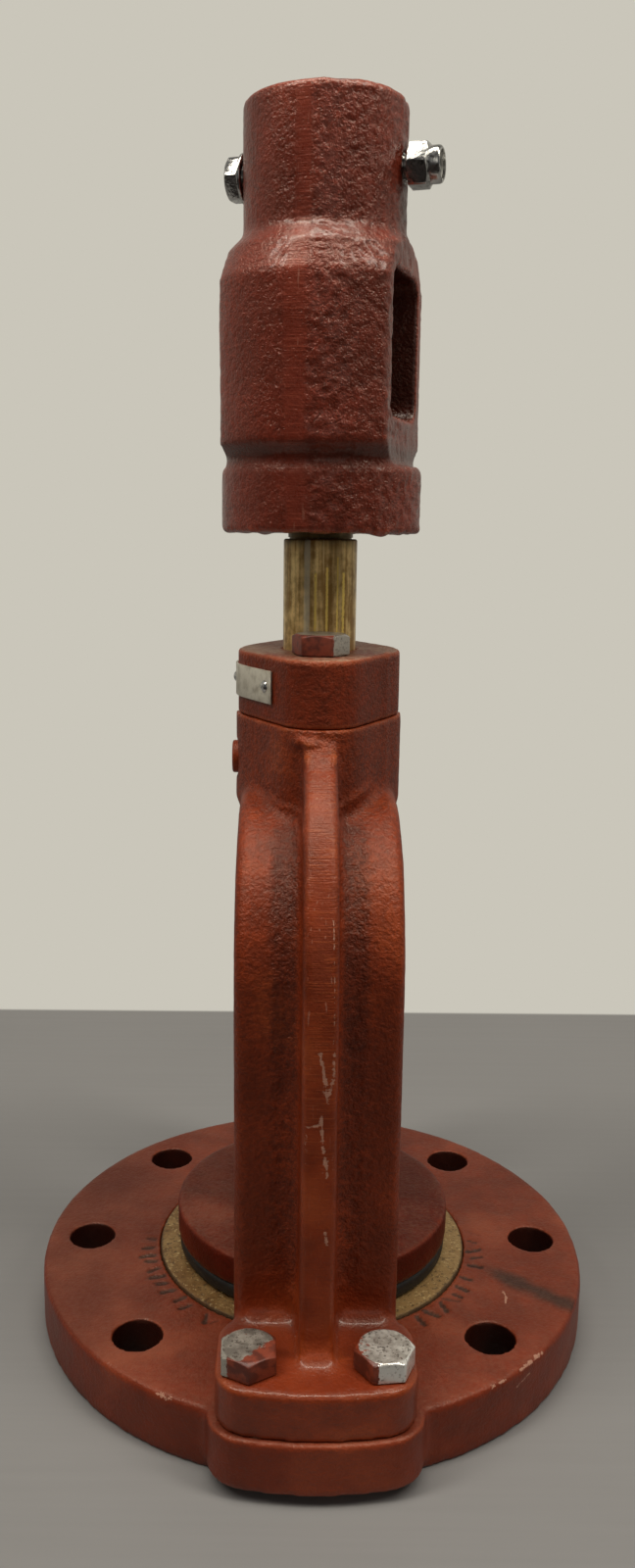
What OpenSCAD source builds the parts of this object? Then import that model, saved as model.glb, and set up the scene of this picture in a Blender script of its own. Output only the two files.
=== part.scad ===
// Mud valve for the floor of a settling tank, with a stem that turns but does not rise.
// A bolted flange carries a bronze seat and a two-legged yoke. The stem is held by a collar
// under the thrust cap at the top of the yoke. Turning it draws the disc up its thread,
// off the seat. A cast coupling on the stem takes the extension rod of a floor stand.
// All sizes are in millimetres. +Z is up the stem and Z = 0 is the underside of the flange.
// The yoke's legs stand on -Y and +Y.

/* [Flange] */
// Outside diameter of the flange
flange_d = 228.6; // [215:0.1:280]
// Thickness of the flange
flange_t = 23.8; // [18:0.1:32]
// Diameter of the circle of flange holes
bolt_circle_d = 190.5; // [182:0.1:200]
// Diameter of each flange hole
flange_hole_d = 19.05; // [12:0.05:22]
// Diameter of the waterway
port_d = 101.6; // [85:0.1:106]
// Radius from the stem to the outer end of each yoke lug
lug_reach = 125.7; // [122:0.1:150]
// Width of each yoke lug
lug_w = 76.8; // [70:0.1:90]
// Thickness of each yoke lug
lug_t = 19.8; // [16:0.1:24]

/* [Seat] */
// Outside diameter of the bronze seat ring
ring_d = 130.6; // [122:0.1:131]
// Depth of the ring's groove in the flange
ring_depth = 8; // [5:0.1:12]
// Height of the ring above the flange
ring_proud = 1; // [0:0.1:3]

/* [Yoke] */
// Height of the yoke above the flange
yoke_h = 231; // [220:1:300]
// Distance between the legs
leg_gap = 138; // [132:0.1:160]
// Width of each leg, seen from its front
leg_w = 60; // [50:0.5:64]
// Thickness of each leg and of the bridge
leg_t = 13; // [10:0.5:16]
// Inside corner radius under the bridge
arch_r = 47; // [40:1:50]
// Width of the outer rib
rib_w = 12; // [8:0.5:16]
// Depth of the outer rib beyond the leg
rib_depth = 24; // [14:0.5:24]
// Radius of the hollow between the rib and the leg
rib_root_r = 6; // [2:0.5:8]
// Radius of the hollow where the leg and its rib meet the foot
foot_root_r = 7; // [2:0.5:8]
// Width of each foot
foot_w = 70.6; // [66:0.1:74]
// Radius from the stem to the outer end of each foot
foot_reach = 124; // [121:0.1:140]
// Thickness of each foot
foot_t = 17.8; // [12:0.1:24]
// Height of the boss round the stem
boss_h = 36; // [33:0.5:44]

/* [Thrust cap] */
// Thickness of the cap
cap_t = 25; // [16:0.5:32]
// Radius of the cap's middle
cap_mid_r = 31.7; // [31:0.1:36]
// Radius of the cap's two ends
cap_end_r = 16.5; // [15:0.1:20]
// Distance from the stem to the centre of each end
cap_end_y = 32; // [31:0.5:38]
// Width of the ledge that the yoke's boss leaves round the cap
boss_ledge = 0.8; // [0:0.1:3]
// Distance from the stem to each cap bolt
cap_bolt_y = 27; // [26.5:0.1:30]

/* [Stem] */
// Diameter of the stem's journal
stem_d = 28.4; // [23.6:0.1:29]
// Diameter of the stem's thread
thread_d = 25.4; // [22:0.1:26]
// Distance that the disc climbs for each turn of the stem
thread_lead = 6.35; // [4:0.05:8]
// Turns of the stem from shut to open
open_turns = 7; // [4:1:7]
// Diameter of the thrust collar
collar_d = 35; // [32:0.5:36]
// Length of bare stem between the thrust cap and the coupling
stem_show = 44.5; // [25:0.5:90]

/* [Coupling] */
// Length of the coupling
coupling_l = 151; // [145:0.5:170]
// Diameter of its lower collar
coupling_collar_d = 75.6; // [70:0.1:80]
// Height of its lower collar
coupling_collar_h = 24; // [18:0.5:26]
// Diameter across its body's round faces
coupling_body_d = 81.5; // [78:0.5:88]
// Width across its body's flat faces
coupling_flat_w = 63; // [60:0.5:70]
// Diameter of the socket for the extension rod, outside
socket_d = 59.8; // [56:0.1:72]
// Bore of the socket's mouth
socket_bore_d = 43; // [38:0.1:46]
// Length of the socket
socket_l = 45.5; // [40:0.5:52]
// Depth of the cross bolt below the socket's mouth
cross_bolt_drop = 22.8; // [18:0.1:26]
// Width of the windows
window_w = 40; // [30:0.5:42]
// Turn of the coupling about the stem, as assembled
coupling_turn = -18; // [-90:1:90]

/* [Disc] */
// Diameter of the disc
disc_d = 115; // [100:0.1:116]
// Thickness of the disc
disc_t = 13.5; // [9:0.1:18]
// Thickness of the rubber seal
seal_t = 6.2; // [4:0.1:9]
// Width of the seal's face
seal_w = 12.3; // [9:0.1:14]
// Diameter of the hub
hub_d = 44; // [40:0.5:50]
// Gap between the guide wings and the legs
guide_gap = 5; // [3:0.5:6]
// Width of each guide wing
wing_w = 56; // [40:0.5:58]

/* [Bolts] */
// Diameter of the yoke's bolts
bolt_d = 12.7; // [10:0.1:13]
// Width across the flats of their heads
bolt_af = 19.05; // [16:0.05:19.1]
// Height of their heads
bolt_head_h = 7.9; // [5:0.1:10]
// Distance between the two bolts of a foot
foot_bolt_gap = 47; // [44:0.5:50]
// Distance of the foot bolts from the stem
foot_bolt_y = 108; // [106:0.5:112]
// Diameter of the cross bolt
cross_bolt_d = 9.5; // [7:0.1:11]
// Width across the flats of the cross bolt's head and nut
cross_bolt_af = 14.3; // [12:0.1:17]

/* [Nameplate] */
// Height of the nameplate
plate_h = 12.2; // [8:0.1:14]
// Thickness of the nameplate
plate_t = 0.8; // [0.5:0.1:1.5]
// Directions from the stem to the nameplate's two ends
plate_from = 242; // [232:1:244]
plate_to = 166; // [150:1:180]

/* [Hidden] */
$fn = 96;

red_oxide = "#7d3c2a";
maroon = "#6b2d26";
bronze = "#9a8146";
zinc = "#b5b5b2";
dark_steel = "#5b5450";
rubber = "#1c1b1b";

// Clearances
fit = 0.3;          // between pieces that move on each other
seat_fit = 0.2;     // between pieces that are fixed in each other
over = 1;           // how far a cut runs past the face it opens

// Heights
deck = flange_t;                          // top of the flange
boss_top = deck + yoke_h;
boss_bottom = boss_top - boss_h;
cap_top = boss_top + cap_t;
seat_top = deck + ring_proud;
seal_bottom = seat_top + fit;
disc_bottom = seal_bottom + seal_t;
disc_top = disc_bottom + disc_t;
foot_top = deck + foot_t;

// Yoke
bridge_rise = 8;
bridge_top = boss_bottom + bridge_rise;   // where the bridge's top meets the boss
leg_in = leg_gap / 2;
leg_out = leg_in + leg_t;
foot_tuck = 3;                            // of a foot's back edge behind the leg's face
hub_boss_d = 50;                          // boss round the stem, under the bridge
hub_boss_h = 9;
foot_corner_r = 13;
cap_bolt_depth = 22;                      // of a cap bolt's hole in the boss
bolt_short = 2;                           // of a bolt's tip from the end of its hole
lug_corner_r = 15;
lug_start = port_d / 2 + 20;              // where a lug begins inside the flange
leg_edge_r = 4;                           // round outer edges of the leg
rib_edge_r = 2;

// Stem and disc
lift = thread_lead * open_turns;
collar_h = 11.4;
collar_bottom = boss_top - fit - collar_h;
hub_floor_t = 8.5;                        // iron under the blind hole in the hub
cavity_floor = disc_bottom + hub_floor_t;
tip_gap = 5;                              // below the stem's tip when the disc is up
stem_tip = cavity_floor + tip_gap + lift;
tip_below_nut = 4;
nut_bottom = stem_tip + tip_below_nut;
nut_l = 28;
nut_flange_t = 7;
hub_top = nut_bottom + nut_l;
thread_over = 10;                         // thread above the nut when the disc is up
thread_top = hub_top + nut_flange_t + lift + thread_over;
hub_wall = 5;
nut_sleeve_r = hub_d / 2 - hub_wall;
thread_room = 2.3;                        // round the thread in the blind hole
hub_bore_r = thread_d / 2 + thread_room;
port_r = port_d / 2;
seal_inset = 0.7;                         // of the seal from the disc's edge
retainer_r = disc_d / 2 - seal_inset - seal_w;
retainer_inset = 0.5;                     // of the retainer's face from the seal's
screw_r = 3;
screw_inset = 10;                         // of the screws from the retainer's edge
screw_ring_r = retainer_r - screw_inset;

// Coupling
coupling_bottom = cap_top + stem_show;
coupling_top = coupling_bottom + coupling_l;
socket_bottom = coupling_top - socket_l;
neck_h = 2.5;                             // narrow neck of the stem below the coupling
neck_step = 1.7;
neck_r = stem_d / 2 - neck_step;
spigot_step = 1.5;
spigot_r = neck_r - spigot_step;          // end of the stem inside the coupling
hub_l = 33.5;                             // length of the coupling's bore for the spigot
cavity_r = 25;
cavity_bottom = coupling_bottom + hub_l;
cavity_cone_h = 4;
cavity_top = socket_bottom - 2 * cavity_cone_h;
window_sill = 8;                          // from the cavity's floor to the window
window_head = 5;                          // from the window to the cavity's top
window_bottom = cavity_bottom + window_sill;
window_top = cavity_top - window_head;
shoulder_h = 17;
shoulder_bottom = socket_bottom - shoulder_h;
body_taper_h = 7.5;
body_bottom = coupling_bottom + coupling_collar_h + body_taper_h;
stem_washer_r = 20;
stem_washer_t = 3;
stem_nut_af = 33;
stem_nut_h = 17;
stem_nut_turn = 10;
spigot_over = 5;                          // spigot that shows above its nut
stem_end = cavity_bottom + stem_washer_t + stem_nut_h + spigot_over;
cross_bolt_z = coupling_top - cross_bolt_drop;
rod_ledge = 1;                            // the socket is narrower below its mouth
socket_mouth_l = cross_bolt_drop - cross_bolt_d / 2 - 2 * rod_ledge;
cross_head_h = 5.6;
cross_washer_t = 1.2;
cross_washer_d = 18;
lock_nut_gap = 1.7;                         // thread that shows between the socket and the nut
lock_nut_h = 7.5;
lock_nut_collar_h = 4.5;
lock_nut_collar_r = cross_bolt_af / 2 - 0.8;
lock_nut_wall = 1.2;
lock_nut_start = socket_d / 2 + lock_nut_gap;
head_seat = -socket_d / 2 - fit;

// Nameplate and plug
plate_gap = 0.1;                          // between the plate and the cap
plate_z = boss_top + cap_t / 2 + 0.8;     // middle of the plate's height
pin_r = 1.2;
pin_l = 6;
pin_head_r = 2.3;
pin_head_h = 1.3;
pin_inset = 4.5;                          // of a pin from the plate's end
plug_r = 6.5;
plug_h = 8;
plug_proud = 1.5;
plug_drop = 18.5;                         // below the boss's top

// ---- Shapes used more than once ----

// Convex oval with a round middle and two smaller round ends on +Y and -Y
module lobed_oval(mid_r, end_r, end_y) {
  tangent = acos((mid_r - end_r) / end_y);
  function middle(side, end) = mid_r * [side * sin(tangent), end * cos(tangent)];
  function tip(side, end) =
    [side * end_r * sin(tangent), end * (end_y + end_r * cos(tangent))];
  circle(r = mid_r);
  for (end = [-1, 1])
    translate([0, end * end_y])
      circle(r = end_r);
  polygon([
    tip(1, -1), middle(1, -1), middle(1, 1), tip(1, 1),
    tip(-1, 1), middle(-1, 1), middle(-1, -1), tip(-1, -1)
  ]);
}

// Outline of a lug or foot on the -Y side: straight sides, round corners, and a front
// edge that is an arc about the stem. Its straight back is the distance `from` away.
module foot_outline(reach, width, corner_r, from) {
  corner_x = width / 2 - corner_r;
  corner_y = sqrt(pow(reach - corner_r, 2) - pow(corner_x, 2));
  intersection() {
    union() {
      intersection() {
        circle(r = reach);
        polygon([[0, 0], [-2 * corner_x, -2 * corner_y], [2 * corner_x, -2 * corner_y]]);
      }
      for (side = [-1, 1])
        translate([side * corner_x, -corner_y])
          circle(r = corner_r);
      translate([-width / 2, -corner_y])
        square([width, corner_y]);
    }
    union() {
      translate([-corner_x, -2 * reach])
        square([2 * corner_x, 2 * reach - from]);
      translate([-width, -2 * reach])
        square([2 * width, 2 * reach - from - corner_r]);
      for (side = [-1, 1])
        translate([side * corner_x, -from - corner_r])
          circle(r = corner_r);
    }
  }
}

// Six-sided prism with its top corners turned to a cone, as on a bolt head or nut
module hex_block(af, height, bore_r = 0) {
  corner_r = af / 2 / cos(30);
  flat_h = height - (corner_r - af / 2) * tan(30);
  difference() {
    intersection() {
      cylinder(r = corner_r, h = height, $fn = 6);
      union() {
        cylinder(r = corner_r + over, h = flat_h - 0.3);
        translate([0, 0, flat_h - 0.3])
          cylinder(r1 = corner_r + 0.3, r2 = af / 2 - 0.3, h = height - flat_h + 0.3);
      }
    }
    if (bore_r > 0)
      translate([0, 0, -over])
        cylinder(r = bore_r, h = height + 2 * over);
  }
}

// Hexagon bolt: its head stands on Z = 0 and its shank hangs below
module hex_bolt(d, af, head_h, shank_l) {
  hex_block(af, head_h);
  translate([0, 0, -shank_l])
    cylinder(d = d, h = shank_l);
}

// ---- Fixed pieces ----

// Round plate with two lugs, the waterway, the groove of the seat ring and all holes.
// Six of the eight places on the bolt circle are holes. The lugs cover the other two.
module flange() {
  edge_r = 2;
  color(red_oxide)
    difference() {
      union() {
        rotate_extrude()
          union() {
            square([flange_d / 2, flange_t - edge_r]);
            square([flange_d / 2 - edge_r, flange_t]);
            translate([flange_d / 2 - edge_r, flange_t - edge_r])
              circle(r = edge_r);
          }
        for (turn = [0, 180])
          rotate([0, 0, turn])
            translate([0, 0, deck - lug_t])
              linear_extrude(lug_t)
                foot_outline(lug_reach, lug_w, lug_corner_r, lug_start);
      }
      translate([0, 0, -over])
        cylinder(d = port_d, h = flange_t + 2 * over);
      translate([0, 0, deck - ring_depth])
        cylinder(r = ring_d / 2 + seat_fit, h = ring_depth + over);
      for (turn = [-45, 0, 45, 135, 180, 225])
        rotate([0, 0, turn])
          translate([bolt_circle_d / 2, 0, -over])
            cylinder(d = flange_hole_d, h = flange_t + 2 * over);
      foot_bolt_holes(deck - lug_t - over, deck + over);
    }
}

// Holes of the four foot bolts between two heights
module foot_bolt_holes(low, high) {
  for (side = [-1, 1], end = [-1, 1])
    translate([side * foot_bolt_gap / 2, end * foot_bolt_y, low])
      cylinder(r = bolt_d / 2 + fit, h = high - low);
}

// Bronze ring with a bevelled seat, let into the flange
module seat_ring() {
  inner_r = port_r;
  outer_r = ring_d / 2;
  bevel = 1.2;
  color(bronze)
    rotate_extrude()
      polygon([
        [inner_r, deck - ring_depth], [outer_r, deck - ring_depth],
        [outer_r, seat_top - bevel / 2], [outer_r - bevel / 2, seat_top],
        [inner_r + bevel, seat_top], [inner_r, seat_top - bevel]
      ]);
}

// One casting: two feet, two legs with an outer rib, the bridge and the boss
module yoke() {
  color(red_oxide)
    difference() {
      union() {
        for (turn = [0, 180])
          rotate([0, 0, turn])
            translate([0, 0, deck])
              linear_extrude(foot_t)
                foot_outline(foot_reach, foot_w, foot_corner_r, leg_out - foot_tuck);
        along_yoke()
          leg_section();
        for (turn = [0, 180])
          rotate([0, 0, turn]) {
            foot_root(leg_w - 2 * leg_edge_r, leg_out);
            foot_root(rib_w, leg_out + rib_depth);
          }
        translate([0, 0, boss_bottom])
          linear_extrude(boss_h)
            lobed_oval(cap_mid_r + boss_ledge, cap_end_r + boss_ledge, cap_end_y);
        translate([0, 0, bridge_top - leg_t - hub_boss_h])
          cylinder(d = hub_boss_d, h = hub_boss_h + over);
      }
      translate([0, 0, deck + over])
        cylinder(r = stem_d / 2 + fit, h = yoke_h);
      translate([0, 0, collar_bottom - fit])
        cylinder(r = collar_d / 2 + fit, h = yoke_h);
      for (end = [-1, 1])
        translate([0, end * cap_bolt_y, boss_top - cap_bolt_depth])
          cylinder(r = bolt_d / 2 + fit, h = cap_bolt_depth + over);
      foot_bolt_holes(deck - over, foot_top + over);
      grease_plug_place()
        cylinder(r = plug_r + seat_fit, h = plug_h + over);
    }
}

// Cross-section of a leg: a plate with round outer edges and a rib that grows out of it in
// hollows. X runs across the leg, and Y = 0 is its inner face.
module leg_section() {
  difference() {
    union() {
      translate([-leg_w / 2, 0])
        square([leg_w, leg_t - leg_edge_r]);
      translate([-leg_w / 2 + leg_edge_r, 0])
        square([leg_w - 2 * leg_edge_r, leg_t]);
      for (side = [-1, 1])
        translate([side * (leg_w / 2 - leg_edge_r), leg_t - leg_edge_r])
          circle(r = leg_edge_r);
      translate([-rib_w / 2 - rib_root_r, leg_t - leg_edge_r])
        square([rib_w + 2 * rib_root_r, leg_edge_r + rib_root_r]);
      translate([-rib_w / 2, 0])
        square([rib_w, leg_t + rib_depth - rib_edge_r]);
      translate([-rib_w / 2 + rib_edge_r, 0])
        square([rib_w - 2 * rib_edge_r, leg_t + rib_depth]);
      for (side = [-1, 1])
        translate([side * (rib_w / 2 - rib_edge_r), leg_t + rib_depth - rib_edge_r])
          circle(r = rib_edge_r);
    }
    for (side = [-1, 1])
      translate([side * (rib_w / 2 + rib_root_r), leg_t + rib_root_r])
        circle(r = rib_root_r);
  }
}

// Carries a leg's section up from each foot, round the arch's corners and over the bridge
module along_yoke() {
  bend_y = leg_in - arch_r;
  bend_z = bridge_top - leg_t - arch_r;
  for (turn = [0, 180])
    rotate([0, 0, turn]) {
      translate([0, leg_in, deck])
        linear_extrude(bend_z - deck)
          children();
      translate([0, bend_y, bend_z])
        rotate([90, 0, 90])
          rotate_extrude(angle = 90)
            translate([arch_r, 0])
              rotate([0, 0, -90])
                children();
    }
  translate([0, bend_y, bend_z + arch_r])
    rotate([90, 0, 0])
      linear_extrude(2 * bend_y)
        children();
}

// Hollow on top of a foot, along the face of a leg or rib that is `out` from the stem
module foot_root(width, out) {
  translate([-width / 2, out, foot_top])
    rotate([90, 0, 90])
      linear_extrude(width)
        difference() {
          translate([-over, -over])
            square(foot_root_r + over);
          translate([foot_root_r, foot_root_r])
            circle(r = foot_root_r);
        }
}

// Cast plate that holds the stem's collar down
module thrust_cap() {
  color(red_oxide)
    difference() {
      translate([0, 0, boss_top])
        linear_extrude(cap_t)
          lobed_oval(cap_mid_r, cap_end_r, cap_end_y);
      translate([0, 0, boss_top - over])
        cylinder(r = stem_d / 2 + fit, h = cap_t + 2 * over);
      for (end = [-1, 1])
        translate([0, end * cap_bolt_y, boss_top - over])
          cylinder(r = bolt_d / 2 + fit, h = cap_t + 2 * over);
      nameplate_pin_places()
        translate([0, 0, -pin_l])
          cylinder(r = pin_r + seat_fit, h = pin_l + over);
    }
}

// Foot bolt number 1 to 4: front left, front right, rear left, rear right.
// Each one has come to rest at its own angle.
module foot_bolt(number) {
  side = [-1, 1, -1, 1][number - 1];
  end = [-1, -1, 1, 1][number - 1];
  turn = [2, 37, 12, 40][number - 1];
  color(zinc)
    translate([side * foot_bolt_gap / 2, end * foot_bolt_y, foot_top])
      rotate([0, 0, turn])
        hex_bolt(bolt_d, bolt_af, bolt_head_h, foot_t + lug_t - bolt_short);
}

// Cap bolt at the front (end = -1) or at the rear (end = 1)
module cap_bolt(end) {
  color(dark_steel)
    translate([0, end * cap_bolt_y, cap_top])
      rotate([0, 0, end < 0 ? 20 : 0])
        hex_bolt(bolt_d, bolt_af, bolt_head_h, cap_t + cap_bolt_depth - bolt_short);
}

// Thin plate bent round the cap's left side
module nameplate() {
  inner = plate_gap;
  outer = plate_gap + plate_t;
  middle = (plate_from + plate_to) / 2;
  far = 3 * cap_mid_r;
  color("silver")
    difference() {
      translate([0, 0, plate_z - plate_h / 2])
        linear_extrude(plate_h)
          intersection() {
            difference() {
              lobed_oval(cap_mid_r + outer, cap_end_r + outer, cap_end_y);
              lobed_oval(cap_mid_r + inner, cap_end_r + inner, cap_end_y);
            }
            polygon([
              [0, 0],
              for (turn = [plate_from, middle, plate_to]) far * [cos(turn), sin(turn)]
            ]);
          }
      nameplate_pin_places()
        translate([0, 0, -pin_l])
          cylinder(r = pin_r + seat_fit, h = 2 * pin_l);
    }
}

// Drive pins of the nameplate: one on the flat at the front, one on the round at the rear
module nameplate_pin_front_place() {
  tangent = acos((cap_mid_r - cap_end_r) / cap_end_y);
  along = cap_mid_r * tan(plate_from - 270 + tangent) - pin_inset;
  rotate([0, 0, 270 - tangent])
    translate([cap_mid_r, along, plate_z])
      rotate([0, 90, 0])
        children();
}
module nameplate_pin_rear_place() {
  rotate([0, 0, plate_to + pin_inset / cap_mid_r * 180 / PI])
    translate([cap_mid_r, 0, plate_z])
      rotate([0, 90, 0])
        children();
}
module nameplate_pin_places() {
  nameplate_pin_front_place()
    children();
  nameplate_pin_rear_place()
    children();
}

// Pin with a domed head, on the plate's face
module drive_pin() {
  seat = plate_gap + plate_t;
  dome_r = (pow(pin_head_r, 2) + pow(pin_head_h, 2)) / (2 * pin_head_h);
  color("silver") {
    translate([0, 0, seat])
      intersection() {
        translate([0, 0, pin_head_h - dome_r])
          sphere(r = dome_r);
        cylinder(r = pin_head_r, h = pin_head_h);
      }
    translate([0, 0, -pin_l + seat_fit])
      cylinder(r = pin_r, h = pin_l - seat_fit + seat);
  }
}

// Plug of the grease hole in the side of the boss
module grease_plug_place() {
  translate([-cap_mid_r - boss_ledge + plug_h - plug_proud, 0, boss_top - plug_drop])
    rotate([0, -90, 0])
      children();
}
module grease_plug() {
  color(red_oxide)
    grease_plug_place()
      cylinder(r = plug_r, h = plug_h);
}

// ---- Pieces that turn with the stem ----

// Turned stem: thread, journal with thrust collar, neck and the spigot for the coupling
module stem() {
  groove = 0.5;
  color(bronze)
    rotate_extrude()
      polygon([
        [0, stem_tip], [thread_d / 2 - 2, stem_tip], [thread_d / 2, stem_tip + 2],
        [thread_d / 2, thread_top], [stem_d / 2, thread_top + 2],
        [stem_d / 2, collar_bottom], [collar_d / 2, collar_bottom],
        [collar_d / 2, collar_bottom + collar_h], [stem_d / 2, collar_bottom + collar_h],
        [stem_d / 2, coupling_bottom - neck_h - groove],
        [stem_d / 2 - groove, coupling_bottom - neck_h],
        [neck_r, coupling_bottom - neck_h], [neck_r, coupling_bottom],
        [spigot_r, coupling_bottom], [spigot_r, stem_end - 2],
        [spigot_r - 2, stem_end], [0, stem_end]
      ]);
}

// Cast coupling: collar, body with two flats and a window in each, shoulder and socket
module coupling() {
  body_r = coupling_body_d / 2;
  waist_in = 1;
  waist_r = coupling_collar_d / 2 - waist_in;
  waist_h = 3;
  rim_r = 2;
  color(maroon)
    rotate([0, 0, coupling_turn])
      difference() {
        intersection() {
          rotate_extrude()
            union() {
              polygon([
                [0, coupling_bottom], [coupling_collar_d / 2 - 1, coupling_bottom],
                [coupling_collar_d / 2, coupling_bottom + 1],
                [coupling_collar_d / 2, coupling_bottom + coupling_collar_h - 2],
                [waist_r, coupling_bottom + coupling_collar_h],
                [waist_r, coupling_bottom + coupling_collar_h + waist_h],
                [body_r, body_bottom], [body_r, shoulder_bottom],
                [socket_d / 2 + 6, socket_bottom - 6], [socket_d / 2, socket_bottom],
                [socket_d / 2, coupling_top - rim_r], [0, coupling_top - rim_r]
              ]);
              translate([socket_d / 2 - rim_r, coupling_top - rim_r])
                circle(r = rim_r);
              translate([0, socket_bottom])
                square([socket_d / 2 - rim_r, socket_l]);
            }
          union() {
            translate([-coupling_flat_w / 2, -body_r - over, coupling_bottom - over])
              cube([coupling_flat_w, 2 * (body_r + over), coupling_l + 2 * over]);
            translate([0, 0, coupling_bottom])
              cylinder(d = coupling_collar_d, h = coupling_collar_h);
            translate([0, 0, socket_bottom])
              cylinder(d = socket_d, h = socket_l);
          }
        }
        translate([0, 0, coupling_bottom - over])
          cylinder(r = spigot_r + seat_fit, h = coupling_l);
        translate([0, 0, cavity_bottom])
          cylinder(r = cavity_r, h = cavity_top - cavity_bottom - cavity_cone_h);
        translate([0, 0, cavity_top - cavity_cone_h])
          cylinder(r1 = cavity_r, d2 = socket_bore_d - rod_ledge, h = cavity_cone_h);
        translate([0, 0, cavity_top - over])
          cylinder(d = socket_bore_d - rod_ledge, h = coupling_top - cavity_top);
        translate([0, 0, coupling_top - socket_mouth_l])
          cylinder(d = socket_bore_d, h = socket_mouth_l + over);
        window();
        translate([-coupling_body_d, 0, cross_bolt_z])
          rotate([0, 90, 0])
            cylinder(r = cross_bolt_d / 2 + fit, h = 2 * coupling_body_d);
      }
}

// Opening that runs through both flats, with round corners
module window() {
  corner_r = 7;
  height = window_top - window_bottom;
  translate([-coupling_body_d, 0, window_bottom])
    rotate([90, 0, 90])
      linear_extrude(2 * coupling_body_d) {
        translate([-window_w / 2, corner_r])
          square([window_w, height - 2 * corner_r]);
        translate([-window_w / 2 + corner_r, 0])
          square([window_w - 2 * corner_r, height]);
        for (side = [-1, 1], end = [0, 1])
          translate([side * (window_w / 2 - corner_r),
                     corner_r + end * (height - 2 * corner_r)])
            circle(r = corner_r);
      }
}

// Washer under the nut that holds the coupling on the stem
module stem_washer() {
  color(zinc)
    translate([0, 0, cavity_bottom])
      difference() {
        cylinder(r = stem_washer_r, h = stem_washer_t);
        translate([0, 0, -over])
          cylinder(r = spigot_r + fit, h = stem_washer_t + 2 * over);
      }
}

// Nut that holds the coupling on the stem
module stem_nut() {
  color(bronze)
    translate([0, 0, cavity_bottom + stem_washer_t])
      rotate([0, 0, coupling_turn + stem_nut_turn])
        hex_block(stem_nut_af, stem_nut_h, spigot_r + seat_fit);
}

// Places a shape on the cross bolt's axis. Its Z runs from the head towards the nut, and
// Z = 0 is the stem's axis.
module cross_bolt_place(z) {
  rotate([0, 0, coupling_turn])
    translate([0, 0, cross_bolt_z])
      rotate([0, 90, 0])
        translate([0, 0, z])
          children();
}

// Bolt across the socket, with its head on the left
module cross_bolt() {
  bolt_end = lock_nut_start + lock_nut_h + lock_nut_collar_h - 1.5;
  color(zinc) {
    cross_bolt_place(head_seat - cross_washer_t - cross_head_h)
      translate([0, 0, cross_head_h])
        mirror([0, 0, 1])
          hex_block(cross_bolt_af, cross_head_h);
    cross_bolt_place(head_seat - cross_washer_t)
      cylinder(d = cross_bolt_d, h = bolt_end - head_seat + cross_washer_t);
  }
}

// Washer under the cross bolt's head
module cross_bolt_washer() {
  color(zinc)
    cross_bolt_place(head_seat - cross_washer_t)
      difference() {
        cylinder(d = cross_washer_d, h = cross_washer_t);
        translate([0, 0, -over])
          cylinder(r = cross_bolt_d / 2 + seat_fit, h = cross_washer_t + 2 * over);
      }
}

// Lock nut: a hexagon with a round collar that holds a plastic ring
module lock_nut() {
  color(zinc)
    cross_bolt_place(lock_nut_start) {
      hex_block(cross_bolt_af, lock_nut_h, cross_bolt_d / 2 + seat_fit);
      translate([0, 0, lock_nut_h])
        difference() {
          cylinder(r = lock_nut_collar_r, h = lock_nut_collar_h);
          translate([0, 0, -over])
            cylinder(r = lock_nut_collar_r - lock_nut_wall, h = lock_nut_collar_h + 2 * over);
        }
    }
}

// Plastic ring inside the lock nut's collar
module lock_nut_insert() {
  ring_fit = 0.1;
  color("white")
    cross_bolt_place(lock_nut_start + lock_nut_h)
      difference() {
        cylinder(r = lock_nut_collar_r - lock_nut_wall - ring_fit,
                 h = lock_nut_collar_h - lock_nut_wall);
        translate([0, 0, -over])
          cylinder(r = cross_bolt_d / 2 + ring_fit, h = lock_nut_collar_h + 2 * over);
      }
}

// ---- Pieces that rise with the disc ----

// Disc with a tall blind hub that swallows the stem as the disc rises, and two wings
// that the legs keep from turning
module disc() {
  wing_reach = leg_in - guide_gap;
  color(red_oxide)
    difference() {
      union() {
        translate([0, 0, disc_bottom]) {
          cylinder(d = disc_d, h = disc_t);
          translate([-wing_w / 2, -wing_reach, 0])
            cube([wing_w, 2 * wing_reach, disc_t]);
        }
        translate([0, 0, disc_top - over])
          cylinder(d = hub_d, h = hub_top - disc_top + over);
        translate([0, 0, disc_top])
          cylinder(r1 = hub_d / 2 + 6, r2 = hub_d / 2, h = 9);
      }
      translate([0, 0, cavity_floor])
        cylinder(r = hub_bore_r, h = hub_top);
      translate([0, 0, nut_bottom])
        cylinder(r = nut_sleeve_r + seat_fit, h = hub_top);
      for (number = [1:4])
        seal_screw_place(number)
          cylinder(r = screw_r + seat_fit, h = 2 * disc_t - 4, center = true);
    }
}

// Bronze nut in the top of the hub
module disc_nut() {
  color(bronze)
    difference() {
      union() {
        translate([0, 0, nut_bottom])
          cylinder(r = nut_sleeve_r, h = nut_l);
        translate([0, 0, hub_top])
          hex_block(hub_d - 6, nut_flange_t);
      }
      translate([0, 0, nut_bottom - over])
        cylinder(r = thread_d / 2 + fit, h = nut_l + nut_flange_t + 2 * over);
    }
}

// Rubber ring that meets the seat
module disc_seal() {
  color(rubber)
    translate([0, 0, seal_bottom])
      difference() {
        cylinder(r = retainer_r + seal_w, h = seal_t);
        translate([0, 0, -over])
          cylinder(r = retainer_r + seat_fit, h = seal_t + 2 * over);
      }
}

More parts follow.
